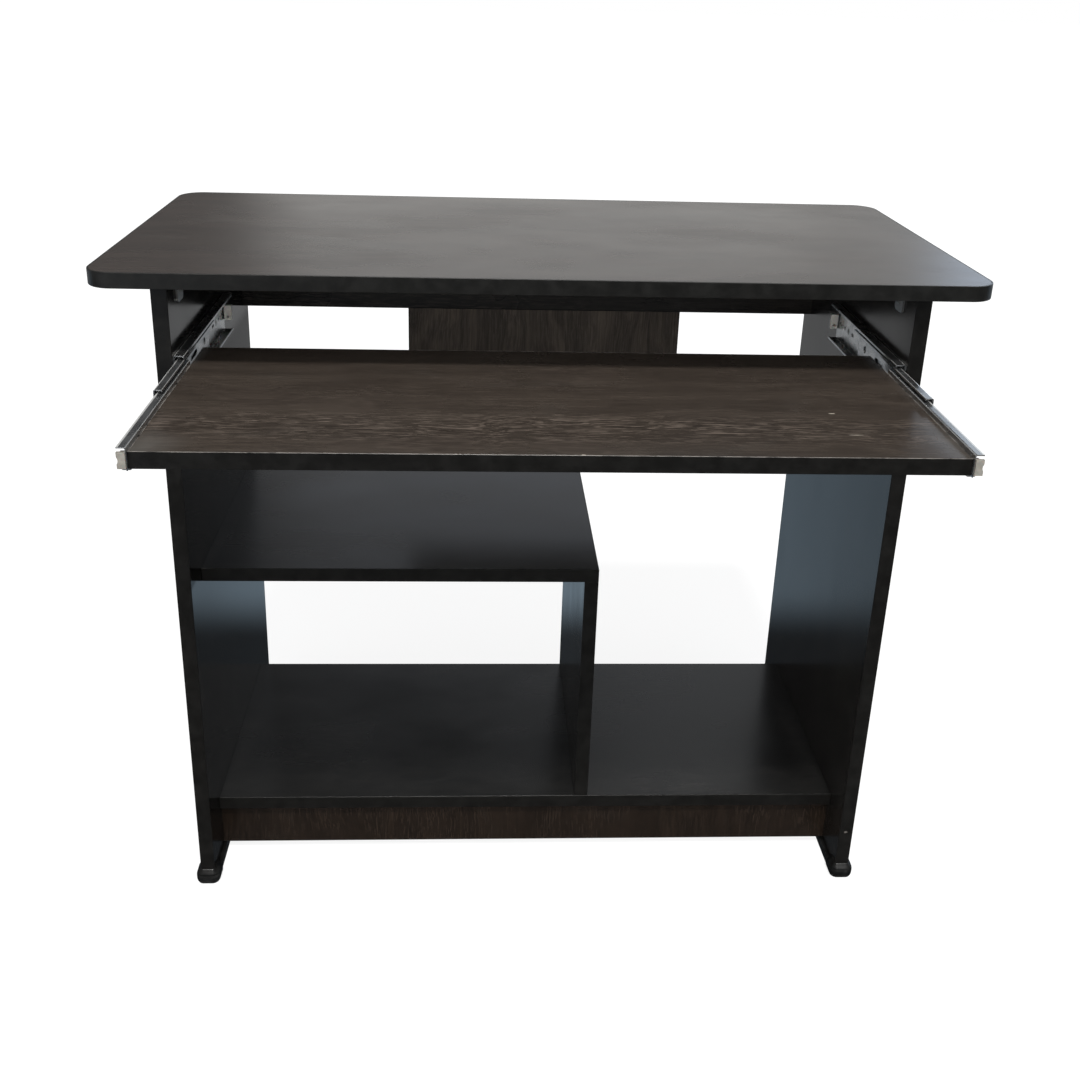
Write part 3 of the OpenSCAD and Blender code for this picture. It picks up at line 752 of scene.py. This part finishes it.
@dataclass
class Carcass:
    """Everything below the desktop that stands still: panels, shelves, rail, plinth and their bands."""

    finishes: dict[str, Material]
    band_arris: float = 0.5 * MM

    def build(self) -> None:
        """Builds the boards and then their edge bands."""
        boards = {
            "left_side_panel": "left_panel", "right_side_panel": "panel", "back_rail": "rail",
            "centre_back_panel": "centre", "bottom_shelf": "shelf", "front_plinth": "plinth",
            "middle_shelf": "middle", "divider_panel": "divider",
        }
        for node, finish in boards.items():
            Board(node, "carcass", "wenge_laminate", self.finishes[finish]).build()
        straight = (
            "left_panel_edge_bands", "right_panel_edge_bands", "back_rail_edge_band",
            "bottom_shelf_edge_band", "plinth_edge_band", "divider_edge_band",
        )
        looks = ("carcass", "black_edge_band", self.finishes["band"], self.band_arris)
        for node in straight:
            Board(node, *looks).build()
        Frieze("centre_panel_edge_bands", *looks, core="centre_back_panel", sides=("z-", "x-", "x+")).build()
        Frieze("middle_shelf_edge_bands", *looks, core="middle_shelf", sides=("y-", "x+")).build()


@dataclass
class KeyboardTray:
    """The tray board and the band round it."""

    laminate: Material
    band: Material
    band_arris: float = 0.5 * MM

    def build(self) -> None:
        """Builds the tray and its four strips of band."""
        Board("keyboard_tray", "tray", "wenge_laminate", self.laminate).build()
        Frieze("tray_edge_band", "tray", "black_edge_band", self.band, self.band_arris,
               core="keyboard_tray", sides=("y-", "y+", "x-", "x+")).build()


@dataclass
class PanelShoe:
    """A plastic shoe under a side panel's corner: a blunt nose with moulded steps, then low walls.

    The profile holds the height and the inset of each of the nose's outlines, in millimetres. Faces whose
    normal's Z is above flat_above are shaded flat.
    """

    node: str
    material: Material
    nose_len: float = 22 * MM
    nose_radius: float = 9 * MM
    nose_steps: int = 10
    heel_inset: float = 1.2 * MM
    tail_lap: float = 5 * MM
    tail_wall: float = 4 * MM
    tail_height: float = 10 * MM
    tail_arris: float = 1.2 * MM
    board_half: float = 8 * MM
    flat_above: float = 0.98
    profile: tuple[tuple[float, float], ...] = (
        (0.0, 3.0), (1.0, 1.6), (3.0, 0.6), (5.0, 0.15), (5.4, 0.6), (5.9, 0.6), (6.3, 0.1), (9.0, 0.0),
        (11.5, 0.2), (12.0, 0.9), (12.6, 0.9), (13.2, 0.6), (14.5, 1.4), (16.0, 2.8), (18.0, 4.4),
        (19.0, 5.2),
    )

    def nose_plan(self, half: float, inset: float) -> Section:
        """The nose's plan: x from the middle, y from the nose's tip towards the heel.

        Args:
            half: half of the nose's width.
            inset: how far the outline is drawn in.

        Returns:
            The outline's points.
        """
        radius = self.nose_radius
        points = []
        for side, start in ((-1, 0), (1, 90)):
            for dx, dy in quarter_turn(start, self.nose_steps):
                x = side * (half - radius) - (radius - inset) * dx
                points.append((x, radius - (radius - inset) * dy))
        back = self.nose_len - min(inset, self.heel_inset)
        return points + [(half - inset, back), (inset - half, back)]

    def build(self) -> None:
        """Builds the nose by the profile, and the low walls behind it."""
        low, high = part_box(self.node)
        middle, half = (low.x + high.x) / 2, (high.x - low.x) / 2
        front = "front" in self.node
        tip, heel, way = (low.y, high.y, 1) if front else (high.y, low.y, -1)
        bm = bmesh.new()
        rows = []
        for height, inset in self.profile:
            plan = self.nose_plan(half, inset * MM)
            rows.append([(middle + x, tip + way * y, low.z + height * MM) for x, y in plan])
        skin(bm, rows, closed=False)
        near, far = sorted((tip + way * (self.nose_len - self.tail_lap), heel))
        reach = self.board_half + self.tail_wall
        wall_low = Vector((middle - reach, near, low.z))
        wall_high = Vector((middle + reach, far, low.z + self.tail_height))
        add_block(bm, wall_low, wall_high, self.tail_arris)
        piece = add_mesh(bm, self.node + "_piece", self.material)
        for polygon in piece.data.polygons:
            polygon.use_smooth = abs(polygon.normal.z) < self.flat_above
        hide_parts(self.node)
        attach(piece, "carcass")
        log.info("shoe %s", piece.name)


@dataclass
class ScrewTree(Tree):
    """Geometry Nodes that put a screw with a driven recess at each point, along its axis attribute.

    The rim, the recess and the shank's drop are shares of the head's height, the rim's top is one of its
    radius, and the width of the cross is one of its length.
    """

    head_sides: int = 28
    shank_sides: int = 16
    rim_top: float = 0.72
    rim: float = 0.4
    cross_width: float = 0.26
    recess: float = 1.2
    shank_drop: float = 0.9

    def __post_init__(self) -> None:
        """Builds the node group once, for every group of screws."""
        super().__init__(bpy.data.node_groups.new("screws_at_points", "GeometryNodeTree"))
        kinds = {
            "Points": "Geometry",
            "Head Radius": "Float",
            "Head Height": "Float",
            "Shank Radius": "Float",
            "Length": "Float",
            "Recess": "Float",
            "Seed": "Int",
            "Finish": "Material",
        }
        face = self.tree.interface
        for name, kind in kinds.items():
            face.new_socket(name, in_out="INPUT", socket_type="NodeSocket" + kind)
        face.new_socket("Screws", in_out="OUTPUT", socket_type="NodeSocketGeometry")
        self.source = self.node("NodeGroupInput")
        self.place(self.screw())

    def value(self, name: str) -> Socket:
        """The group's own input of that name."""
        return self.source.outputs[name]

    def times(self, first: object, second: object) -> Socket:
        """A product of two values."""
        return self.first("ShaderNodeMath", {0: first, 1: second}, operation="MULTIPLY")

    def lifted(self, mesh: Socket, height: Socket) -> Socket:
        """Moves a mesh up its own axis."""
        place = self.first("ShaderNodeCombineXYZ", {2: height})
        return self.first("GeometryNodeTransform", {"Geometry": mesh, "Translation": place})

    def head(self) -> Socket:
        """Makes the head, with its rim tapered and the cross cut into it.

        Returns:
            Its mesh, with its face at the origin.
        """
        radius, height = self.value("Head Radius"), self.value("Head Height")
        cone = {"Vertices": self.head_sides, "Radius Top": self.times(radius, self.rim_top),
                "Radius Bottom": radius, "Depth": self.times(height, self.rim)}
        disc = {"Vertices": self.head_sides, "Radius": radius, "Depth": self.times(height, 1 - self.rim)}
        solid = self.node("GeometryNodeMeshBoolean", operation="UNION")
        for kind, sizes, drop in (("Cone", cone, self.rim), ("Cylinder", disc, (1 + self.rim) / 2)):
            mesh = self.lifted(self.first("GeometryNodeMesh" + kind, sizes), self.times(height, -drop))
            self.tree.links.new(mesh, solid.inputs["Mesh 2"])
        cut = self.node("GeometryNodeMeshBoolean", {"Mesh 1": solid.outputs[0]}, operation="DIFFERENCE")
        length, depth = self.value("Recess"), self.times(height, self.recess)
        width = self.times(length, self.cross_width)
        for x, y in ((length, width), (width, length)):
            size = self.first("ShaderNodeCombineXYZ", {0: x, 1: y, 2: depth})
            self.tree.links.new(self.first("GeometryNodeMeshCube", {"Size": size}), cut.inputs["Mesh 2"])
        return cut.outputs[0]

    def screw(self) -> Socket:
        """Joins the head and the shank.

        Returns:
            One screw, with its axis along Z.
        """
        length = self.value("Length")
        rod = {"Vertices": self.shank_sides, "Radius": self.value("Shank Radius"), "Depth": length}
        shank = self.lifted(self.first("GeometryNodeMeshCylinder", rod), self.times(length, -0.5))
        shank = self.lifted(shank, self.times(self.value("Head Height"), -self.shank_drop))
        whole = self.node("GeometryNodeJoinGeometry")
        for mesh in (shank, self.head()):
            self.tree.links.new(mesh, whole.inputs[0])
        return whole.outputs[0]

    def place(self, screw: Socket) -> None:
        """Puts the screw on every point, each turned about its axis by chance, and ends the tree.

        Args:
            screw: the mesh of one screw.
        """
        axis = self.first("GeometryNodeInputNamedAttribute", {"Name": "axis"}, data_type="FLOAT_VECTOR")
        facing = self.first("FunctionNodeAlignRotationToVector", {"Vector": axis}, axis="Z")
        spin = self.node("FunctionNodeRandomValue", {2: 0.0, 3: math.pi, "Seed": self.value("Seed")})
        turn = self.first("FunctionNodeAxisAngleToRotation", {"Angle": spin.outputs[1]})
        both = {"Rotation": facing, "Rotate By": turn}
        turned = self.first("FunctionNodeRotateRotation", both, rotation_space="LOCAL")
        spread = {"Points": self.value("Points"), "Instance": screw, "Rotation": turned}
        placed = self.first("GeometryNodeInstanceOnPoints", spread)
        real = self.first("GeometryNodeRealizeInstances", {"Geometry": placed})
        dressed = self.first("GeometryNodeSetMaterial", {"Geometry": real, "Material": self.value("Finish")})
        self.node("NodeGroupOutput", {0: dressed})


@dataclass
class Screws:
    """The screws of one CAD node, found from their solids and made with driven heads."""

    node: str
    body: str
    maker: ScrewTree
    material: Material
    head_radius: float
    head_height: float
    recess: float
    shank_radius: float = 1.7 * MM
    end_depth: float = 0.2 * MM
    seed: int = SEED

    def reach(self, points: Sequence[Vector], middle: Vector, axis: int, end: float) -> float:
        """The widest distance from a screw's axis to its corners near one end."""
        near = [point - middle for point in points if abs(point[axis] - end) < self.end_depth]
        return max(math.hypot(*(off[i] for i in range(3) if i != axis)) for off in near)

    def places(self) -> list[tuple[Vector, Vector, float]]:
        """Finds the screws.

        Returns:
            The middle of each head's face, the outward direction and the length.
        """
        found = []
        for points in islands(self.node):
            low, high = points_box(points)
            middle, size = (low + high) / 2, high - low
            axis = max(range(3), key=lambda i: size[i])
            wide_top, wide_foot = (self.reach(points, middle, axis, end[axis]) for end in (high, low))
            out, face = Vector(), middle.copy()
            out[axis] = 1.0 if wide_top > wide_foot else -1.0
            face[axis] = (high if wide_top > wide_foot else low)[axis]
            found.append((face, out, size[axis]))
        return found

    def holder(self, places: list[tuple[Vector, Vector, float]]) -> bpy.types.Object:
        """Makes the points that the tree runs on, and gives it this group's sizes.

        Args:
            places: the screws' faces, directions and lengths.

        Returns:
            The object with the live modifier.
        """
        points = bpy.data.meshes.new(self.node + "_points")
        points.from_pydata([tuple(face) for face, _, _ in places], [], [])
        axis = points.attributes.new("axis", "FLOAT_VECTOR", "POINT")
        axis.data.foreach_set("vector", [part for _, out, _ in places for part in out])
        made = add_object(self.node + "_holder", points)
        modifier = made.modifiers.new("screws", "NODES")
        modifier.node_group = self.maker.tree
        sizes = {
            "Head Radius": self.head_radius,
            "Head Height": self.head_height,
            "Shank Radius": self.shank_radius,
            "Length": places[0][2] - self.head_height,
            "Recess": self.recess,
            "Seed": self.seed,
            "Finish": self.material,
        }
        for item in self.maker.tree.interface.items_tree:
            if item.item_type == "SOCKET" and item.in_out == "INPUT" and item.name in sizes:
                modifier[item.identifier] = sizes[item.name]
        made.update_tag()
        return made

    def build(self) -> None:
        """Runs the node tree over the places and keeps its result as a plain mesh."""
        holder = self.holder(self.places())
        graph = bpy.context.evaluated_depsgraph_get()
        mesh = bpy.data.meshes.new_from_object(holder.evaluated_get(graph))
        mesh.name = self.node + "_piece"
        bpy.data.objects.remove(holder)
        piece = add_object(mesh.name, mesh)
        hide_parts(self.node)
        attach(piece, self.body)
        log.info("screws %s", piece.name)


@dataclass
class Hardware:
    """The carried-over pieces of metal, plastic and beech, which only need their finish."""

    finishes: dict[str, Material]
    slide_parts: dict[str, str] = field(default_factory=lambda: {
        "slide_outer": "outer_member", "slide_middle": "middle_member", "slide_inner": "inner_member",
        "outer_cage": "cage", "inner_cage": "cage", "outer_balls": "ball", "inner_balls": "ball",
        "slide_cap": "cap", "slide_bumper": "bumper",
    })
    fittings: dict[str, str] = field(default_factory=lambda: {
        "corner_brackets": "bracket", "shelf_brackets": "bracket", "screw_covers": "black",
        "confirmat_screws": "screw", "wooden_dowels": "beech",
    })

    def build(self) -> None:
        """Gives each carried-over node its finish."""
        parts = self.slide_parts.items()
        looks = {f"{side}_{part}": look for side in ("left", "right") for part, look in parts}
        for node, look in (looks | self.fittings).items():
            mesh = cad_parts[node].data
            mesh.materials.clear()
            mesh.materials.append(self.finishes[look])
            log.info("node %s: %s", node, look)


@dataclass
class Studio:
    """A pale floor, soft light and the camera at the photograph's viewing angle.

    The rooms are what gloss mirrors at low, middle and steep angles: a colour for each bearing, in radians
    from straight ahead towards the right. Each pair of ends is where one tone gives way to the next, in
    metres on the floor and otherwise in parts of the direction. The camera's px are those of its square
    image.
    """

    camera_at: tuple[float, float, float] = (-0.0704, -1.1166, 1.0349)
    yaw: float = -0.054
    pitch: float = 0.352
    roll: float = -0.030
    focal_px: float = 1162.83
    principal_px: tuple[float, float] = (534.94, 394.10)
    image_px: float = 1080.0
    sensor_mm: float = 36.0
    clip: Ends = (0.01, 200.0)
    key_elevation: float = 61.0
    key_yaw: float = 0.5
    key_strength: float = 2.0
    key_spread: float = 0.10
    key_colour: Colour = (1.0, 0.985, 0.965)
    fill_colour: Colour = (0.96, 0.98, 1.0)
    fill_strength: float = 0.28
    front_strength: float = 1.5
    front_ends_y: Ends = (-0.15, -0.45)
    front_ends_z: Ends = (0.70, 0.50)
    floor_half: float = 30.0
    floor_drop: float = 0.2 * MM
    floor_glow: float = 0.87
    floor_paper: float = 0.25
    floor_matt: float = 0.8
    floor_near_gloss: Colour = (0.035, 0.040, 0.045)
    floor_gloss: Colour = (0.26, 0.34, 0.41)
    floor_far_gloss: Colour = (0.34, 0.345, 0.35)
    floor_window_gloss: Colour = (0.40, 0.44, 0.50)
    near_ends: Ends = (0.44, 0.61)
    far_ends: Ends = (1.3, 1.8)
    window_ends_x: Ends = (-0.7, -1.4)
    window_ends_y: Ends = (-1.2, -2.0)
    low_ends: Ends = (0.30, 0.35)
    middle_ends: Ends = (0.48, 0.55)
    high_ends: Ends = (0.80, 0.93)
    ceiling: Colour = (0.85, 0.86, 0.87)
    low_room: Levels = (
        (-math.pi, grey(0.10)), (-0.205, grey(0.12)), (-0.155, (0.72, 0.72, 0.70)),
        (0.27, (0.72, 0.72, 0.70)), (0.30, (0.58, 0.58, 0.57)), (0.38, (0.60, 0.61, 0.61)),
        (0.42, (1.22, 1.42, 1.70)), (1.10, (1.22, 1.42, 1.70)), (1.50, grey(0.12)), (math.pi, grey(0.10)),
    )
    middle_room: Levels = (
        (-math.pi, grey(0.15)), (-1.20, grey(0.20)), (-0.205, grey(0.20)), (-0.155, (0.52, 0.55, 0.61)),
        (-0.10, (0.54, 0.57, 0.63)), (-0.06, (0.43, 0.46, 0.51)), (-0.02, (0.52, 0.55, 0.61)),
        (0.25, (0.52, 0.56, 0.63)), (0.33, (0.32, 0.32, 0.30)), (1.10, (0.32, 0.32, 0.30)),
        (1.50, grey(0.12)), (math.pi, grey(0.10)),
    )
    high_room: Levels = (
        (-math.pi, grey(0.15)), (-1.60, grey(0.15)), (-1.20, grey(0.05)), (0.06, grey(0.05)),
        (0.15, (0.45, 0.46, 0.47)), (1.20, (0.45, 0.46, 0.47)), (1.60, grey(0.15)), (math.pi, grey(0.15)),
    )

    def build(self) -> None:
        """Builds the camera, the lights, the world and the floor."""
        self.camera()
        self.key()
        self.world()
        self.floor()
        bpy.context.scene.view_settings.view_transform = "Standard"

    def camera(self) -> None:
        """Places the camera with its principal point off the middle of the square image."""
        flat = Matrix.Rotation(self.yaw, 3, "Z")
        ahead = flat @ Vector((0, math.cos(self.pitch), -math.sin(self.pitch)))
        level = flat @ Vector((1, 0, 0))
        plumb = ahead.cross(level)
        right = math.cos(self.roll) * level + math.sin(self.roll) * plumb
        down = -math.sin(self.roll) * level + math.cos(self.roll) * plumb
        turn = Matrix((right, -down, -ahead)).transposed().to_4x4()
        data = bpy.data.cameras.new("camera")
        data.sensor_width = self.sensor_mm
        data.lens = self.sensor_mm * self.focal_px / self.image_px
        data.shift_x = (self.image_px / 2 - self.principal_px[0]) / self.image_px
        data.shift_y = -(self.image_px / 2 - self.principal_px[1]) / self.image_px
        data.clip_start, data.clip_end = self.clip
        eye = Vector(self.camera_at) + Vector((0, PANEL_FRONT, 0))
        bpy.context.scene.camera = add_object("camera", data)
        bpy.context.scene.camera.matrix_world = Matrix.Translation(eye) @ turn

    def key(self) -> None:
        """Adds the key light: wide and soft, from the front and above."""
        data = bpy.data.lights.new("key", "SUN")
        data.energy = self.key_strength
        data.angle = self.key_spread
        data.color = self.key_colour
        tilt = math.radians(90 - self.key_elevation)
        add_object("key", data).rotation_euler = (tilt, 0.0, math.radians(self.key_yaw))

    def bearings(self, graph: Graph, place: Socket, levels: Levels) -> Socket:
        """Builds one height of the room.

        Args:
            graph: the world's graph.
            place: the bearing as a share of the full turn.
            levels: the room's colours by bearing.

        Returns:
            The colour.
        """
        ramp = graph.node("ValToRGB", {0: place})
        ramp.color_ramp.elements.remove(ramp.color_ramp.elements[1])
        for i, (bearing, colour) in enumerate(levels):
            at = (bearing + math.pi) / (2 * math.pi)
            stop = ramp.color_ramp.elements[0] if i == 0 else ramp.color_ramp.elements.new(at)
            stop.position = at
            stop.color = (*colour, 1)
        return ramp.outputs[0]

    def world(self) -> None:
        """White for the camera, a dim room with bright windows for gloss, and a fill, strongest in front."""
        world = bpy.data.worlds.new("studio")
        world.use_nodes = True
        bpy.context.scene.world = world
        g = Graph(world.node_tree, "Generated")
        parts = g.axes()
        bearing = g.math("ARCTAN2", parts[0], parts[1])
        place = g.first("MapRange", {0: bearing, 1: -math.pi, 2: math.pi})
        room = self.bearings(g, place, self.low_room)
        for ends, levels in ((self.low_ends, self.middle_room), (self.middle_ends, self.high_room)):
            room = g.mix(g.step(parts[2], *ends), room, self.bearings(g, place, levels))
        room = g.mix(g.step(parts[2], *self.high_ends), room, self.ceiling)
        glossy = g.first("Background", {0: room})
        front = g.times(g.step(parts[1], *self.front_ends_y), g.step(parts[2], *self.front_ends_z))
        level = g.plus(g.times(front, self.front_strength - self.fill_strength), self.fill_strength)
        fill = g.first("Background", {0: self.fill_colour, 1: level})
        white = g.first("Background", {0: grey(1.0)})
        path = g.node("LightPath").outputs
        unseen = g.first("MixShader", {0: path["Is Glossy Ray"], 1: fill, 2: glossy})
        clear = g.math("MAXIMUM", path["Is Camera Ray"], path["Is Transmission Ray"])
        g.node("OutputWorld", {0: g.first("MixShader", {0: clear, 1: unseen, 2: white})})

    def floor(self) -> None:
        """Adds a wide pale floor: near white to the camera, with the desk's shadow, and dim in gloss."""
        bm = bmesh.new()
        bmesh.ops.create_grid(bm, x_segments=1, y_segments=1, size=self.floor_half)
        material = bpy.data.materials.new("floor")
        material.use_nodes = True
        g = Graph(material.node_tree)
        parts = g.axes()
        paper = g.first("BsdfDiffuse", {0: grey(self.floor_paper)})
        glow = g.first("Emission", {0: grey(1.0), 1: self.floor_glow})
        seen = g.first("AddShader", {0: paper, 1: glow})
        matt = g.first("BsdfDiffuse", {0: grey(self.floor_matt)})
        # In gloss the floor glows instead of being lit: painted shade of the desk near it, lighter further
        # off, and a painted pool of window light to the front left.
        tone = g.mix(g.step(parts[1], *self.near_ends), self.floor_near_gloss, self.floor_gloss)
        tone = g.mix(g.step(parts[1], *self.far_ends), tone, self.floor_far_gloss)
        window = g.times(g.step(parts[0], *self.window_ends_x), g.step(parts[1], *self.window_ends_y))
        tone = g.mix(window, tone, self.floor_window_gloss)
        mirrored = g.first("Emission", {0: tone})
        path = g.node("LightPath").outputs
        clear = g.math("MAXIMUM", path["Is Glossy Ray"], path["Is Transmission Ray"])
        unseen = g.first("MixShader", {0: clear, 1: matt, 2: mirrored})
        both = g.first("MixShader", {0: path["Is Camera Ray"], 1: unseen, 2: seen})
        g.node("OutputMaterial", {0: both})
        made = add_mesh(bm, "floor", material)
        made.location.z = -self.floor_drop


def tray_laminate() -> WengeLaminate:
    """The tray's finish, with its nicks, its dusty, scuffed corners and its crowded wisps near the front,
    which are partly painted glint.

    Returns:
        The finish, before its material is built.
    """
    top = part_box("keyboard_tray")[1].z

    def mark(x: float, y: float, size: tuple[float, float, float]) -> Mark:
        """A mark on the tray's face, with y from the side panels' front edges."""
        return Mark((x, PANEL_FRONT + y, top), size)

    nicks = (
        mark(0.267, -0.101, (0.0034, 0.0009, 0.002)),
        mark(0.274, -0.1548, (0.007, 0.0005, 0.002)),
        mark(0.022, -0.206, (0.002, 0.0012, 0.002)),
    )
    # Dusty patches at the tray's corners.
    rubbed_and_highlight = (
        mark(0.41, -0.17, (0.06, 0.07, 0.05)),
        mark(0.39, -0.05, (0.03, 0.12, 0.05)),
        mark(-0.40, -0.19, (0.07, 0.035, 0.05)),
    )
    return WengeLaminate(
        "wenge_tray", Grain.ALONG_X, dark=(0.046, 0.0360, 0.029), brown=(0.080, 0.0635, 0.051), wisps=0.2,
        dust=0.06, wisp=(0.175, 0.140, 0.115), shift=(0.4, 1.3, 0), marks=nicks, patches=rubbed_and_highlight,
        dashes=(mark(0.0, -0.145, (0.50, 0.032, 0.05)),), relief=0.3,
    )


def laminates() -> dict[str, Material]:
    """Builds the wood-pattern finishes, each with its own stretch of the print.

    Returns:
        The materials, by the board's short name.
    """
    # The boards are one laminate, toned board by board for the light that each gets: the upright panels'
    # darker tones are painted shade.
    upright = {"dark": (0.0070, 0.0064, 0.0058), "brown": (0.0170, 0.0150, 0.0130), "dust": 0.04,
               "wisp": (0.024, 0.021, 0.019), "roughness": 0.2, "relief": 0.25}
    shelf_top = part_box("middle_shelf")[1].z
    dull = (shelf_top - 8 * MM, shelf_top + 230 * MM)
    # A darker copy for the left panel: painted deeper shade in the left bay.
    shaded_upright = {**upright, "dark": (0.0024, 0.0023, 0.0021), "brown": (0.0056, 0.0052, 0.0045),
                 "specular": 0.36, "roughness": 0.13, "dull_between": dull}
    # The shelves' darker tones are painted shade under the desktop.
    ledge = {"dark": (0.010, 0.0100, 0.0098), "brown": (0.019, 0.0185, 0.0175), "dust": 0.02,
             "wisp": (0.032, 0.030, 0.028), "relief": 0.2}
    along, up = Grain.ALONG_X, Grain.ALONG_Z
    finishes = {
        "top": WengeLaminate("wenge_top", along, dark=(0.038, 0.031, 0.027), brown=(0.064, 0.050, 0.043),
                             wisps=0.12, dust=0.10, relief=0.3),
        "tray": tray_laminate(),
        "panel": WengeLaminate("wenge_panel", up, shift=(0.2, 0.6, 0.3), **upright),
        "left_panel": WengeLaminate("wenge_left_panel", up, shift=(0.4, 0.9, 0.6), **shaded_upright),
        "divider": WengeLaminate("wenge_divider", up, shift=(0.7, 0.1, 0.5), **upright),
        # Painted shade darkens the rail.
        "rail": WengeLaminate("wenge_rail", along, dark=(0.013, 0.0118, 0.0105), dust=0.06,
                              brown=(0.025, 0.022, 0.019), wisp=(0.05, 0.04, 0.034), shift=(0.1, 0.2, 0.9)),
        # Painted light lightens the centre panel.
        "centre": WengeLaminate("wenge_centre", up, dark=(0.040, 0.032, 0.025), dust=0.06,
                                brown=(0.100, 0.078, 0.060), shift=(0.5, 0.2, 0.2)),
        # Painted shade darkens the plinth, besides its own redder tone.
        "plinth": WengeLaminate("wenge_plinth", up, dark=(0.0115, 0.0078, 0.0055), wisp=(0.04, 0.027, 0.02),
                                brown=(0.0215, 0.0140, 0.0095), dust=0.02, shift=(0.9, 0.2, 0.2)),
        "shelf": WengeLaminate("wenge_shelf", along, specular=0.6, shift=(0.3, 0.8, 0.7), **ledge),
        "middle": WengeLaminate("wenge_middle", along, shift=(0.6, 0.4, 0.1), **ledge),
    }
    return {key: finish.material() for key, finish in finishes.items()}


def slide_zinc(member: str) -> ZincPlate:
    """The plating of a slide's outer, middle or inner member, with painted highlight lines along its own
    edges.
    """
    rims = tuple(corner.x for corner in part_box(f"right_slide_{member}"))
    return ZincPlate(f"{member}_zinc", (0.58, 0.59, 0.60), metallic=0.97, rounding=0.6 * MM, rims=rims)


def other_finishes() -> dict[str, Material]:
    """Builds the bands, metals and plastics.

    Returns:
        The materials, by short name.
    """
    nick = Mark((0.3813, PANEL_FRONT, 0.0653), (0.0022, 0.003, 0.0016))
    # Above this height the tray band's arris is painted paler, for wear and highlight.
    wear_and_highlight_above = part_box("tray_edge_band")[1].z - 0.35 * MM
    finishes = {
        "band": EdgeBand("black_band", marks=(nick,)),
        "top_band": EdgeBand("black_top_band", (0.0094, 0.0092, 0.0084)),
        "tray_band": EdgeBand("black_tray_band", wear_and_highlight_above=wear_and_highlight_above),
        **{member + "_member": slide_zinc(member) for member in ("outer", "middle", "inner")},
        "bracket": ZincPlate("pressed_zinc", (0.62, 0.62, 0.61), 0.34, rounding=0.4 * MM),
        "cage": ZincPlate("cage_strip", grey(0.5), 0.35),
        "ball": ZincPlate("polished_balls", (0.7, 0.7, 0.72), 0.1),
        "screw": ZincPlate("zinc_screw", (0.62, 0.61, 0.58), 0.3),
        "black": Moulded("black_plastic", (0.0060, 0.0060, 0.0057), 0.38),
        "cap": Moulded("dusty_beige", (0.25, 0.235, 0.205), 0.38, cloudy=0.1),
        "bumper": Moulded("cloudy_beige", (0.60, 0.58, 0.53), 0.34, cloudy=0.12),
        "beech": TurnedBeech("beech"),
    }
    return {key: finish.material() for key, finish in finishes.items()}


def main() -> None:
    """Builds the desk's sub-assemblies in order, then the studio round them."""
    logging.basicConfig(level=logging.INFO, format="%(name)s: %(message)s")
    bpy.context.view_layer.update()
    finishes = {**laminates(), **other_finishes()}
    Desktop(finishes["top"], finishes["top_band"]).build()
    Carcass(finishes).build()
    KeyboardTray(finishes["tray"], finishes["tray_band"]).build()
    for corner in ("front_left", "front_right", "rear_left", "rear_right"):
        PanelShoe(corner + "_shoe", finishes["black"]).build()
    maker = ScrewTree()
    # Node, body, and the head's radius, height and recess in millimetres
    groups = (
        ("slide_to_panel_screws", "carcass", 3.4, 0.9, 4.2),
        ("slide_to_tray_screws", "tray", 3.2, 1.5, 4.0),
        ("corner_bracket_screws", "carcass", 3.4, 1.6, 4.2),
        ("shelf_bracket_screws", "carcass", 2.8, 1.2, 3.4),
        ("back_panel_screws", "carcass", 3.4, 1.6, 4.2),
        ("shoe_screws", "carcass", 3.4, 2.2, 4.2),
    )
    for node, body, radius, height, recess in groups:
        Screws(node, body, maker, finishes["screw"], radius * MM, height * MM, recess * MM).build()
    Hardware(finishes).build()
    Studio().build()


if __name__ == "__main__":
    main()
